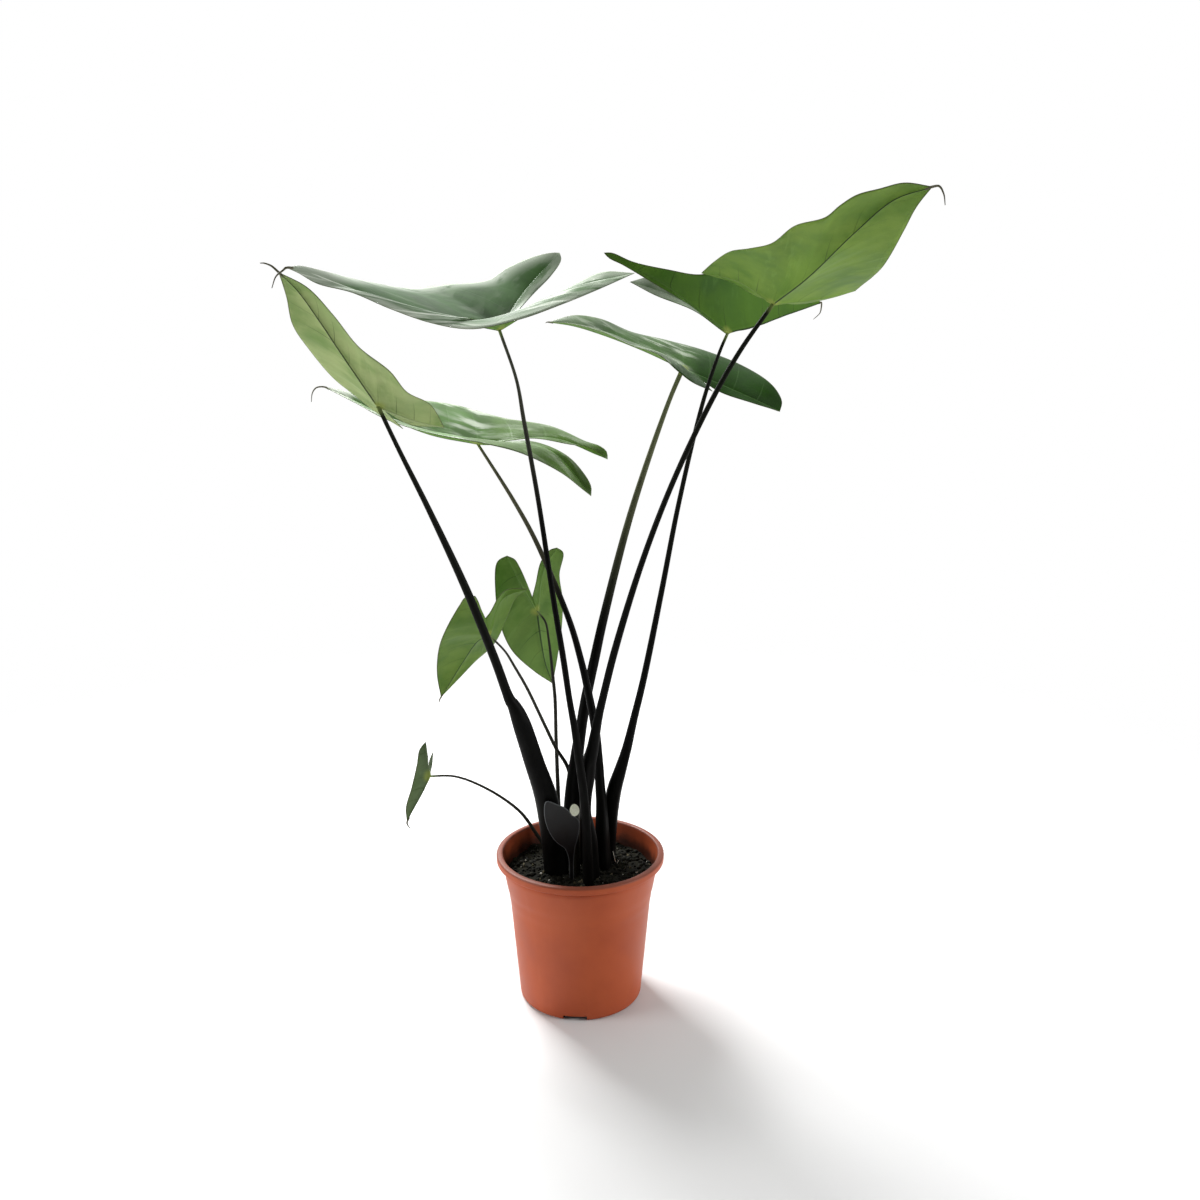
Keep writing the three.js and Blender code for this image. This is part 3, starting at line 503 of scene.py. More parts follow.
def tube(centres, radii, sides):
    """Rings of points round a path: centre + radius * (cos a * across + sin a * other), one ring a row.

    across is +X with the part along the path taken out, and other stands
    square to both. radii is one number a row, or one a point.
    """
    along = unit(np.gradient(centres, axis=0))
    across = unit(np.array([1.0, 0.0, 0.0]) - along * along[:, :1])
    other = np.cross(along, across)
    angle = full_turn(sides)
    radii = np.asarray(radii).reshape(len(centres), -1, 1)
    ring = np.cos(angle)[None, :, None] * across[:, None] + np.sin(angle)[None, :, None] * other[:, None]
    return centres[:, None] + radii * ring


def closed_bar(rings):
    """Points and faces of stacked rings, with a fan of triangles over each end."""
    rows, sides, _ = rings.shape
    points = np.vstack([rings.reshape(-1, 3), rings[0].mean(axis=0), rings[-1].mean(axis=0)])
    k = np.arange(sides)
    n = (k + 1) % sides
    top = (rows - 1) * sides
    low_fan = np.stack([n, k, np.full(sides, rows * sides)], axis=1)
    high_fan = np.stack([top + k, top + n, np.full(sides, rows * sides + 1)], axis=1)
    return points, grid_faces(rows, sides, closed=True).tolist() + low_fan.tolist() + high_fan.tolist()


def lumps(centres, sizes, seed):
    """Small icosahedra: corner = turn * (unit corner * roughness * size) + centre.

    Each one has a random turn, and each of its corners a random roughness.
    """
    rng = np.random.default_rng(seed)
    golden = (1 + 5**0.5) / 2
    corners = np.array([
        (-1, golden, 0), (1, golden, 0), (-1, -golden, 0), (1, -golden, 0),
        (0, -1, golden), (0, 1, golden), (0, -1, -golden), (0, 1, -golden),
        (golden, 0, -1), (golden, 0, 1), (-golden, 0, -1), (-golden, 0, 1),
    ]) / np.hypot(1, golden)
    sides = np.array([
        (0, 11, 5), (0, 5, 1), (0, 1, 7), (0, 7, 10), (0, 10, 11),
        (1, 5, 9), (5, 11, 4), (11, 10, 2), (10, 7, 6), (7, 1, 8),
        (3, 9, 4), (3, 4, 2), (3, 2, 6), (3, 6, 8), (3, 8, 9),
        (4, 9, 5), (2, 4, 11), (6, 2, 10), (8, 6, 7), (9, 8, 1),
    ])
    count = len(centres)
    axes, _ = np.linalg.qr(rng.normal(size=(count, 3, 3)))
    axes *= np.sign(np.linalg.det(axes))[:, None, None]
    rough = rng.uniform(0.75, 1.2, (count, 12, 1))
    local = corners * rough * sizes[:, None, :]
    points = np.einsum("nij,nkj->nki", axes, local) + centres[:, None]
    faces = sides[None] + 12 * np.arange(count)[:, None, None]
    return points.reshape(-1, 3), faces.reshape(-1, 3)


# Leaf blades

def strip(ribs, edges, columns, side, camber):
    """Points between rib points and edge points, row by row, bowed along the surface's own up.

    point = rib + share * (edge - rib) + 4 * share * (1 - share) * camber * width * up,
    with shares set closer together beside the rib.
    """
    share = np.linspace(0, 1, columns + 1) ** RIB_CROWDING
    rows = np.arange(len(ribs))
    window = FORE_ROWS // 12
    forward = ribs[np.maximum(rows - window, 0)] - ribs[np.minimum(rows + window, len(ribs) - 1)]
    span = edges - ribs
    width = np.linalg.norm(span, axis=1)
    up = unit(np.cross(forward, span)) * side
    height = 4 * share * (1 - share) * camber * width[:, None]
    points = ribs[:, None] + span[:, None] * share[None, :, None] + up[:, None] * height[..., None]
    return points, share, width, up


def blade_sheet(leaf):
    """The blade's parts as grids of points and faces, with the pattern coordinates of each point.

    Each half is a strip from midrib to margin that runs on round the outside
    of the basal lobe, and a strip from the lobe's rib to the sinus side. Both
    are quilted between the veins: up * quilt * width * sin(pi * phase)^2, less
    towards rib and margin.
    """
    fore_veins, hind_veins = leaf["veins"]
    fore_shares = np.linspace(0, 1, FORE_ROWS + 1)
    hind_shares = np.linspace(0, 1, HIND_ROWS + 1)
    along = np.concatenate([fore_shares, 1 + hind_shares[1:]])
    origin = (0.0, 0.0, 0.0)
    midrib = even_points([origin, *leaf["rib"]], 1 - fore_shares)
    rib_length = np.linalg.norm(np.diff(midrib, axis=0), axis=1).sum()
    patches = []
    for side, half in ((1, leaf["left"]), (-1, leaf["right"])):
        tip = half["hind"][-1]
        stations = [leaf["rib"][-1], *half["fore"], *half["hind"]]
        notch = [leaf["sinus"], *half["notch"], tip]
        shoulder = length_share(stations, (len(half["fore"]) + 0.5) / (len(stations) - 1))
        fore_margin = even_points(stations, shoulder * fore_shares)
        hind_margin = even_points(stations, shoulder + (1 - shoulder) * hind_shares)
        middle = even_points(notch, [0.5])[0] * (1 - LOBE_RIB_SHARE)
        middle = middle + hind_margin[HIND_ROWS // 2] * LOBE_RIB_SHARE
        lobe_rib = even_points([origin, middle, tip], hind_shares)
        ribs = np.vstack([midrib, lobe_rib[1:]])
        margin = np.vstack([fore_margin, hind_margin[1:]])
        outer = strip(ribs, margin, OUTER_COLUMNS, side, BLADE_CAMBER)
        inner = strip(lobe_rib, even_points(notch, hind_shares), INNER_COLUMNS, -side, 0.0)
        for surface, place, flip in ((outer, along, side), (inner, along[FORE_ROWS:], -side)):
            points, share, width, up = surface
            rows, columns = points.shape[:2]
            phase = np.where(place < 1, fore_veins * place, fore_veins + hind_veins * (place - 1))
            swept = phase[:, None] + VEIN_SWEEP * share[None] ** 1.5
            towards_apex = np.minimum(place, 1)[:, None] ** 0.5
            quilt = np.sin(np.pi * swept) ** 2 * share**0.6 * (1 - share) * towards_apex
            points = points + up[:, None] * (leaf["quilt"] * quilt * width[:, None])[..., None]
            faces = grid_faces(rows, columns)
            patches.append({
                "points": points.reshape(-1, 3),
                "faces": faces[:, ::-1] if flip < 0 else faces,
                "rib_distance": (width[:, None] * share[None]).ravel(),
                "edge_distance": (width[:, None] * (1 - share)[None]).ravel(),
                "vein_phase": swept.ravel(),
                "vein_spacing": np.full(rows * columns, rib_length / fore_veins),
                "place": np.repeat(place, columns),
                "left_half": np.full(rows * columns, 1.0 if side > 0 else 0.0),
            })
    return patches


def weld(patches):
    """Patches joined into one sheet: points that coincide become one, and quads become triangles."""
    offsets = np.cumsum([0] + [len(patch["points"]) for patch in patches[:-1]])
    points = np.vstack([patch["points"] for patch in patches])
    quads = np.vstack([patch["faces"] + offset for patch, offset in zip(patches, offsets)])
    triangles = np.vstack([quads[:, [0, 1, 2]], quads[:, [0, 2, 3]]])
    _, first, number = np.unique(np.round(points, 6), axis=0, return_index=True, return_inverse=True)
    triangles = number.ravel()[triangles]
    a, b, c = triangles.T
    triangles = triangles[(a != b) & (b != c) & (c != a)]
    labels = [key for key in patches[0] if key not in ("points", "faces")]
    values = {key: np.concatenate([patch[key] for patch in patches])[first] for key in labels}
    return points[first], triangles, values


def point_normals(points, triangles):
    """At each point, the sum of the cross products of its triangles' sides, scaled to length 1."""
    a, b, c = (points[triangles[:, k]] for k in range(3))
    across = np.cross(b - a, c - a)
    normals = np.zeros_like(points)
    for k in range(3):
        np.add.at(normals, triangles[:, k], across)
    return unit(normals)


def outline_quads(triangles, count):
    """Quads that join the two faces of a thickened sheet along its open edges.

    An edge is open where no triangle runs along it the other way.
    """
    edges = np.vstack([triangles[:, [0, 1]], triangles[:, [1, 2]], triangles[:, [2, 0]]])
    keys = edges[:, 0] * count + edges[:, 1]
    reverse = edges[:, 1] * count + edges[:, 0]
    start, end = edges[~np.isin(reverse, keys)].T
    return np.stack([end, start, start + count, end + count], axis=1)


def add_blade(name, leaf, materials):
    """The blade as a closed skin: the sheet moved half its thickness up and down along its normals.

    The lower face also stands out over the ribs by height * exp(-(distance / width)^2),
    highest at the junction and fading to the apex and the lobe tips, and the
    upper face sinks by a quarter of that. At its margin the blade keeps 0.6 of
    its thickness. The drip tip's radius is full * (1 - taper * place^1.5).
    """
    points, triangles, values = weld(blade_sheet(leaf))
    normals = point_normals(points, triangles)
    fade = 1 - RIB_RIDGE_FADE * np.abs(values["place"] - 1)[:, None]
    ridge = RIB_RIDGE * fade * np.exp(-(values["rib_distance"][:, None] / RIB_RIDGE_WIDTH) ** 2)
    from_edge = smooth_step(0.0, BLADE_EDGE_TAPER, values["edge_distance"])
    thick = BLADE_THICKNESS * (0.6 + 0.4 * from_edge)[:, None]
    count = len(points)
    upper = points + normals * (thick / 2 - 0.25 * ridge)
    lower = points - normals * (thick / 2 + ridge)
    apex = np.array(leaf["rib"][-1])
    root = apex + unit(np.array(leaf["rib"][-2]) - apex) * DRIP_TIP_ROOT
    places = np.linspace(0, 1, DRIP_TIP_ROWS)
    centres = curve_points([root, apex, *leaf["drip"]], places)
    tip_radii = DRIP_TIP_RADIUS * (1 - DRIP_TIP_TAPER * places**1.5)
    tip_points, tip_faces = closed_bar(tube(centres, tip_radii, DRIP_TIP_SIDES))
    skin = np.vstack([upper, lower, tip_points]) + np.array(leaf["junction"])
    faces = triangles.tolist() + (triangles[:, ::-1] + count).tolist()
    faces += outline_quads(triangles, count).tolist()
    faces += [[corner + 2 * count for corner in face] for face in tip_faces]
    attributes = {key: np.concatenate([one, one, np.ones(len(tip_points))]) for key, one in values.items()}
    attributes["vein_phase"][2 * count:] = 0.5
    piece = make_piece(f"{name}_leaf_blade", skin, faces, materials, attributes, len(triangles))
    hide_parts(f"blade_{name}")


# Petioles

def add_petiole(name, leaf, material):
    """A round stem of changing radius from inside the soil up into the underside of its blade.

    Below its sheath's top the section is radius * (1 + lip - groove), two bell
    curves side by side round the stem, so the sheath's edge runs down as a fold.
    The radii are averaged over seven rows. The end stands half a radius short of
    the junction and is closed by a low dome: radius * sqrt(1 - flatness * sin^2).
    """
    up = np.array(leaf["petiole"][::-1])
    foot = up[0] - np.array([0, 0, STEM_DEPTH, 0])
    junction = np.array(leaf["junction"])
    top_radius = leaf["top_radius"] * STEM_TOP_SWELL
    end = junction + unit(up[-1, :3] - junction) * top_radius * 0.5
    stations = np.vstack([foot, up, [*end, top_radius]])
    places = arc_places(stations[:, :3], np.linspace(0, 1, STEM_ROWS))
    centres = curve_points(stations[:, :3], places)
    radii = np.interp(places, np.linspace(0, 1, len(stations)), stations[:, 3]) + SKIN_DEPTH
    radii = np.convolve(np.pad(radii, 3, mode="edge"), np.ones(7) / 7, mode="valid")
    dome = np.sin(np.linspace(0, np.pi / 2, 6)[1:])
    dome_radii = radii[-1] * np.sqrt(1 - dome**2 * DOME_FLATNESS)
    direction = unit(centres[-1] - centres[-2])
    centres = np.vstack([centres, centres[-1] + direction * (dome * radii[-1] * 0.5)[:, None]])
    radii = np.concatenate([radii, dome_radii])
    sheath = 1 - smooth_step(leaf["sheath_top"] - SHEATH_FADE, leaf["sheath_top"], centres[:, 2])
    from_lip = turn_from(full_turn(STEM_SIDES), np.radians(leaf["facing"]))
    from_groove = turn_from(from_lip, GROOVE_TURN)
    lip = SHEATH_LIP * np.exp(-(from_lip / LIP_WIDTH) ** 2)
    section = lip - SHEATH_GROOVE * np.exp(-(from_groove / GROOVE_WIDTH) ** 2)
    around = radii[:, None] * (1 + sheath[:, None] * section[None])
    points, faces = closed_bar(tube(centres, around, STEM_SIDES))
    height = (centres[:, 2] - SOIL_LEVEL) / (junction[2] - SOIL_LEVEL)
    share = np.concatenate([np.repeat(height, STEM_SIDES), [height[0], height[-1]]])
    attributes = {"share": share, "to_top": np.linalg.norm(points - junction, axis=1)}
    piece = make_piece(f"{name}_leaf_petiole", points, faces, [material], attributes)
    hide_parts(f"petiole_{name}")


# Pot

def arc(centre, radius, start, end, steps=6):
    """Points centre + radius * (cos a, sin a) of a profile, with a from start to end in degrees."""
    a = np.radians(np.linspace(start, end, steps))
    return np.stack([centre[0] + radius * np.cos(a), centre[1] + radius * np.sin(a)], axis=1)


def pot_profile():
    """The pot's section as (radius, height): floor inside, up the wall, over the rim, down to the foot."""
    fillet, bead, roll, groove = 0.0045, 0.0022, 0.0014, 0.0016
    return np.vstack([
        [(0.0, POT_FLOOR_TOP), (POT_INNER_FOOT - 0.003, POT_FLOOR_TOP)],
        arc((POT_INNER_FOOT - 0.003, POT_FLOOR_TOP + fillet), fillet, -90, -5),
        [(POT_WAIST_RADIUS - POT_WALL, POT_WAIST_HEIGHT)],
        [(POT_COLLAR_RADIUS - POT_WALL, POT_COLLAR_HEIGHT + 0.001)],
        [(POT_NECK_RADIUS - POT_WALL, POT_RIM_UNDERSIDE - 0.001)],
        arc((POT_LIP_RADIUS + bead - 0.0004, POT_HEIGHT - bead), bead, 175, 90),
        arc((POT_RIM_RADIUS - bead, POT_HEIGHT - bead - 0.0005), bead, 80, 0),
        arc((POT_RIM_RADIUS - roll, POT_RIM_UNDERSIDE + 0.0016), roll, 0, -80),
        [(POT_NECK_RADIUS + 0.0015, POT_RIM_UNDERSIDE + 0.0003)],
        arc((POT_NECK_RADIUS + 0.0008, POT_RIM_UNDERSIDE - 0.0014), groove, 100, 180),
        [(POT_NECK_RADIUS - 0.0004, POT_RIM_UNDERSIDE - 0.0034)],
        [(POT_NECK_RADIUS, POT_RIM_UNDERSIDE - 0.0044)],
        [(POT_COLLAR_RADIUS + 0.0003, POT_COLLAR_HEIGHT + 0.0015)],
        [(POT_COLLAR_RADIUS - 0.0006, POT_COLLAR_HEIGHT - 0.001)],
        [(POT_WAIST_RADIUS + 0.0004, POT_WAIST_HEIGHT + 0.001)],
        [(POT_WAIST_RADIUS - 0.0001, POT_WAIST_HEIGHT - 0.001)],
        arc((POT_FOOT_RADIUS, POT_CORNER), POT_CORNER, 5, -90, 10),
        [(POT_RING_INNER_RADIUS + POT_CHANNEL_SLOPE, 0.0), (POT_RING_INNER_RADIUS, POT_CHANNEL_HEIGHT)],
        [(POT_PAD_RADIUS + POT_CHANNEL_SLOPE, POT_CHANNEL_HEIGHT), (POT_PAD_RADIUS, 0.0), (0.0, 0.0)],
    ])


def refine(profile, reach):
    """A profile with points added evenly so that no step is longer than reach."""
    pieces = [profile[:1]]
    for a, b in zip(profile[:-1], profile[1:]):
        steps = max(int(np.ceil(np.linalg.norm(b - a) / reach)), 1)
        pieces.append(a + (b - a) * np.linspace(0, 1, steps + 1)[1:, None])
    return np.vstack(pieces)


def lathe(profile, angles, lift):
    """Points of a profile turned round Z: (r cos a, r sin a, lift(x, y, z)), one row a profile point."""
    radius, height = profile[:, :1], profile[:, 1:]
    x = radius * np.cos(angles)
    y = radius * np.sin(angles)
    return np.stack([x, y, lift(x, y, height + np.zeros_like(x))], axis=-1)


def closed_lathe(grid):
    """Points and faces of a lathed solid whose profile starts and ends on the axis, faces outward."""
    points, faces = closed_bar(grid[1:-1])
    points[-2] = grid[0, 0]
    points[-1] = grid[-1, 0]
    return points, [face[::-1] for face in faces]


def add_pot(material):
    """The pot: its profile turned round Z, with columns set on both edges of each drain notch.

    The attribute inside is 1 on the inner wall and in the notches, which the pot's material darkens with
    painted shade.
    """
    even = full_turn(POT_COLUMNS)
    half = np.arcsin(NOTCH_WIDTH / 2 / POT_FOOT_RADIUS)
    middles = NOTCH_FIRST_ANGLE + np.arange(NOTCH_COUNT) * 2 * np.pi / NOTCH_COUNT
    slope = 0.006
    edges = (middles[:, None] + np.array([-half - slope, -half, half, half + slope])).ravel() % (2 * np.pi)
    near = np.abs(turn_from(even[:, None], edges)).min(axis=1) < 0.008
    angles = np.sort(np.concatenate([even[~near], edges]))
    in_notch = np.abs(turn_from(angles[:, None], middles)).min(axis=1) < half + 0.001

    def notch_lift(x, y, z):
        """Lifts the foot's wall to the notch's height and the ring behind it to the channel's."""
        radius = np.hypot(x, y)
        below = (np.arange(len(z)) > len(z) // 2)[:, None] & in_notch[None]
        wall = below & (radius > POT_FOOT_RADIUS + POT_CORNER - NOTCH_DEPTH) & (z < NOTCH_HEIGHT)
        ring = below & (radius > POT_RING_INNER_RADIUS + 0.0005) & (z < POT_CHANNEL_HEIGHT) & ~wall
        lifted = np.where(wall, NOTCH_HEIGHT - 0.0002 + 0.04 * z, z)
        return np.where(ring, POT_CHANNEL_HEIGHT - 0.0001, lifted)

    profile = refine(pot_profile(), POT_STEP)
    points, faces = closed_lathe(lathe(profile, angles, notch_lift))
    crest = np.argmax(profile[:, 1])
    row = np.arange(1, len(profile) - 1)[:, None]
    deep = profile[1:-1, :1] < POT_FOOT_RADIUS + 0.0012
    inner = np.where((row < crest - 5) | ((row > crest) & deep & in_notch[None]), 1.0, 0.0)
    inside = np.concatenate([inner.ravel(), [1.0, 0.0]])
    piece = make_piece("nursery_pot", points, faces, [material], {"inside": inside})
    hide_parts("pot")


# Soil

def soil_height(x, y):
    """Level plus a gentle swell, a sine across times a cosine front to back, plus finer ripples.

    Each ripple is size * sin(2 * along / size) * sin(1.7 * across / size), turned and shifted.
    """
    swell = np.sin(x / SOIL_SWELL[0] + SOIL_SHIFT[0]) * np.cos(y / SOIL_SWELL[1] + SOIL_SHIFT[1])
    ripples = np.zeros_like(x)
    for size, turn in ((0.0071, 0.3), (0.0043, 1.4), (0.0029, 2.3), (0.0018, 0.9)):
        along = x * np.cos(turn) + y * np.sin(turn)
        across = y * np.cos(turn) - x * np.sin(turn)
        ripples += size * np.sin(along / size * 2 + turn * 7) * np.sin(across / size * 1.7 + turn * 3)
    return SOIL_LEVEL + SOIL_RELIEF * swell + 0.12 * ripples


def add_soil(material):
    """The soil as a turned solid that fills the pot just clear of its wall, its top lifted to soil_height."""
    inset = 0.0003
    foot = POT_INNER_FOOT - inset
    side = [
        (0.0, POT_FLOOR_TOP + inset), (foot - 0.003, POT_FLOOR_TOP + inset),
        (foot, POT_FLOOR_TOP + 0.006), (POT_WAIST_RADIUS - POT_WALL - inset, POT_WAIST_HEIGHT),
        (SOIL_EDGE_RADIUS - 0.0006, SOIL_LEVEL - 0.002),
    ]
    rings = SOIL_EDGE_RADIUS * np.linspace(1, 0, SOIL_RINGS)
    top = np.stack([rings, np.full(SOIL_RINGS, SOIL_LEVEL)], axis=1)

    def relief(x, y, z):
        """The soil's own height for the points of the top disc."""
        return np.where(z > SOIL_LEVEL - 0.001, soil_height(x, y), z)

    grid = lathe(np.vstack([side, top]), full_turn(SOIL_COLUMNS), relief)
    points, faces = closed_lathe(grid[::-1])
    piece = make_piece("potting_soil", points, [face[::-1] for face in faces], [material])
    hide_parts("soil")


def add_crumbs(name, count, smallest, largest, flatness, seed, material):
    """Loose bits scattered evenly over the soil's disc, at radius * sqrt(random), and sunk into it.

    A bit's size is smallest + (largest - smallest) * random^2, so most are small.
    """
    rng = np.random.default_rng(seed)
    radius = (SOIL_EDGE_RADIUS - 0.002) * np.sqrt(rng.uniform(0, 1, count))
    turn = rng.uniform(0, 2 * np.pi, count)
    x, y = radius * np.cos(turn), radius * np.sin(turn)
    size = smallest + (largest - smallest) * rng.uniform(0, 1, (count, 1)) ** 2
    sizes = size * rng.uniform([0.6, 0.4, flatness * 0.6], [1.2, 1.0, flatness * 1.1], (count, 3))
    centres = np.stack([x, y, soil_height(x, y) + 0.25 * sizes.min(axis=1)], axis=1)
    piece = make_piece(name, *lumps(centres, sizes, seed + 1), [material])


def add_fibre(material):
    """A pale root fibre, a thin tube along a smooth curve out of the soil at the front right."""
    centres = curve_points(FIBRE_PATH, np.linspace(0, 1, FIBRE_ROWS))
    points, faces = closed_bar(tube(centres, np.linspace(*FIBRE_RADII, FIBRE_ROWS), 8))
    piece = make_piece("pale_root_fibre", points, faces, [material])


# Label and cut stem

def bent_span(points, steps=14):
    """A curve from the first to the last of four points, bent by the two between, without its start.

    point = (1 - t)^3 p0 + 3 (1 - t)^2 t p1 + 3 (1 - t) t^2 p2 + t^3 p3
    """
    p0, p1, p2, p3 = (np.array(point) for point in points)
    t = np.linspace(0, 1, steps + 1)[1:, None]
    return (1 - t) ** 3 * p0 + 3 * (1 - t) ** 2 * t * p1 + 3 * (1 - t) * t**2 * p2 + t**3 * p3


def add_label(material):
    """A bare plant label: eight copies of its outline one behind another, those by its faces drawn in.

    The sheet bows by bow * (x / half width)^2 and then leans back about its foot.
    """
    outline = [np.array([(STAKE_HALF_WIDTH, -LABEL_DEPTH), STAKE_SHOULDER])]
    for bend in LABEL_HEAD:
        outline.append(bent_span((outline[-1][-1], *bend)))
    outline = np.vstack([*outline, [(-STAKE_HALF_WIDTH, -LABEL_DEPTH)]])
    count = len(outline)
    forward = unit(np.roll(outline, -1, axis=0) - np.roll(outline, 1, axis=0))
    inward = np.stack([-forward[:, 1], forward[:, 0]], axis=1)
    depths = np.array([-0.5, -0.5, -0.38, -0.2, 0.2, 0.38, 0.5, 0.5])[:, None] * LABEL_THICKNESS
    insets = np.array([0.0011, 0.00045, 0.00012, 0, 0, 0.00012, 0.00045, 0.0011])[:, None]
    x = outline[:, 0] + inward[:, 0] * insets
    z = outline[:, 1] + inward[:, 1] * insets
    y = depths + LABEL_BOW * (x / LABEL_HALF_WIDTH) ** 2
    turned_y = y * np.cos(LABEL_LEAN) - z * np.sin(LABEL_LEAN)
    turned_z = y * np.sin(LABEL_LEAN) + z * np.cos(LABEL_LEAN)
    grid = np.stack([x + LABEL_FOOT[0], turned_y + LABEL_FOOT[1], turned_z + SOIL_LEVEL], axis=-1)
    faces = grid_faces(len(depths), count, closed=True).tolist()
    last = (len(depths) - 1) * count
    faces += [list(range(count))[::-1], list(range(last, last + count))]
    faces = [face[::-1] for face in faces]
    rim = np.repeat([0.0, 1, 1, 1, 1, 1, 1, 0], count)
    piece = make_piece("bare_plant_label", grid.reshape(-1, 3), faces, [material], {"rim": rim})
    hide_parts("plant_label")


def add_stump(material):
    """The stub of a cut petiole, with its heights shared out between its foot and the slanting cut.

    radius = full * (1.1 - 0.16 * share) * (1 + 0.03 * cos(3 * angle + 0.7)), and
    the cut rises by y * tan(tilt). Four rings drawn in to the middle close its face.
    """
    angle = full_turn(STUMP_SIDES)
    share = np.linspace(0, 1, STUMP_ROWS)[:, None]
    radius = STUMP_RADIUS * (1.1 - 0.16 * share) * (1 + 0.03 * np.cos(3 * angle + 0.7))
    x = STUMP_FOOT[0] + radius * np.cos(angle)
    y = STUMP_FOOT[1] + radius * np.sin(angle)
    cut = SOIL_LEVEL + STUMP_HEIGHT + (y - STUMP_FOOT[1]) * np.tan(STUMP_CUT_TILT)
    z = SOIL_LEVEL - STEM_DEPTH + (cut - SOIL_LEVEL + STEM_DEPTH) * share
    wall = np.stack([x, y, z], axis=-1)
    middle = wall[-1].mean(axis=0)
    shrink = np.array([0.93, 0.85, 0.6, 0.3])
    bulge = np.array([0.0003, 0.0002, -0.0002, -0.0004])
    normal = np.array([0, -np.sin(STUMP_CUT_TILT), np.cos(STUMP_CUT_TILT)])
    face = middle + (wall[-1] - middle) * shrink[:, None, None] + normal * bulge[:, None, None]
    points, faces = closed_bar(np.vstack([wall, face]))
    out = np.concatenate([np.repeat([1.0] * STUMP_ROWS + [*shrink], STUMP_SIDES), [1.0, 0.0]])
    piece = make_piece("cut_petiole_stub", points, faces, [material], {"from_middle": out})
    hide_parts("cut_petiole")


# Materials

class Recipe:
    """A node tree with short ways to add and join its nodes."""

    def __init__(self, name, library="materials", shader="Principled BSDF"):
        """A new material, or a world where library says so, with the shader that finish fills."""
        self.owner = getattr(bpy.data, library).new(name)
        self.owner.use_nodes = True
        self.tree = self.owner.node_tree
        self.shader = self.tree.nodes[shader]

    def plug(self, socket, value):
        """Joins a socket to another or sets its number or colour."""
        if isinstance(value, bpy.types.NodeSocket):
            self.tree.links.new(value, socket)
        elif isinstance(value, tuple) and len(value) == 3 and len(socket.default_value) == 4:
            socket.default_value = (*value, 1.0)
        else:
            socket.default_value = value

    def node(self, kind, inputs, output=0, **settings):
        """A node with its settings and inputs, given by name or number. Returns one output."""
        made = self.tree.nodes.new("ShaderNode" + kind)
        for key, value in settings.items():
            setattr(made, key, value)
        for key, value in inputs.items():
            self.plug(made.inputs[key], value)
        return made.outputs[output]

    def read(self, label):
        """A number stored at each point of the piece."""
        return self.node("Attribute", {}, "Fac", attribute_name=label)

    def math(self, operation, a, b=0.0):
        """A sum or another operation on one or two numbers."""
        return self.node("Math", {0: a, 1: b}, operation=operation)

    def times(self, a, b):
        """The product of two numbers."""
        return self.math("MULTIPLY", a, b)

    def ease(self, value, low, high, at_low=0.0, at_high=1.0):
        """at_low where value is low or less, at_high where it is high or more, an S curve between."""
        inputs = {"Value": value, "From Min": low, "From Max": high, "To Min": at_low, "To Max": at_high}
        return self.node("MapRange", inputs, interpolation_type="SMOOTHSTEP")

    def mix(self, share, a, b):
        """The colour a * (1 - share) + b * share."""
        return self.node("Mix", {0: share, 6: a, 7: b}, 2, data_type="RGBA")

    def place(self, scale=(1.0, 1.0, 1.0)):
        """The piece's own coordinates in metres, stretched by scale."""
        return self.node("Mapping", {"Vector": self.node("TexCoord", {}, "Object"), "Scale": scale})

    def noise(self, scale, detail=3.0, roughness=0.55, stretch=(1.0, 1.0, 1.0), spot=None):
        """Cloudy noise over the piece, or over the coordinates in spot."""
        inputs = {"Scale": scale, "Detail": detail, "Roughness": roughness}
        return self.node("TexNoise", {"Vector": spot or self.place(stretch), **inputs})

    def finish(self, **sockets):
        """Plugs the shader's sockets, named with underscores for spaces."""
        for key, value in sockets.items():
            self.plug(self.shader.inputs[key.replace("_", " ")], value)
        return self.owner

    def cover(self, colour, roughness, shine, relief, strength, depth):
        """The finished material of a solid thing, with a relief of a strength and a depth in metres."""
        bump = self.node("Bump", {"Height": relief, "Strength": strength, "Distance": depth})
        return self.finish(Base_Color=colour, Roughness=roughness, Specular_IOR_Level=shine, Normal=bump)


def srgb(red, green, blue):
    """A colour given as it looks on screen, 0 to 255, as linear light."""
    c = np.array([red, green, blue]) / 255
    return tuple(float(v) for v in np.where(c < 0.04045, c / 12.92, ((c + 0.055) / 1.055) ** 2.4))


def tint(colour, factor, haze=0.0):
    """The colour * factor + haze: made lighter or darker, with some white light added."""
    return tuple(factor * v + haze for v in colour)


def lateral_veins(leaf, full, gone):
    """1 within full metres of the nearest lateral vein, falling to 0 at gone.

    The distance is (0.5 - |fraction of the phase - 0.5|) * spacing.
    """
    part = leaf.math("FRACT", leaf.read("vein_phase"))
    centred = leaf.math("ABSOLUTE", leaf.math("SUBTRACT", part, 0.5))
    distance = leaf.times(leaf.math("SUBTRACT", 0.5, centred), leaf.read("vein_spacing"))
    return leaf.ease(distance, full, gone, 1.0, 0.0)


def near_junction(leaf, junction, near, far, share):
    """The share, as it falls in an S curve to nothing from near to far from the junction."""
    away = leaf.node("VectorMath", {0: leaf.place(), 1: junction}, "Value", operation="DISTANCE")
    return leaf.ease(away, near, far, share, 0.0)


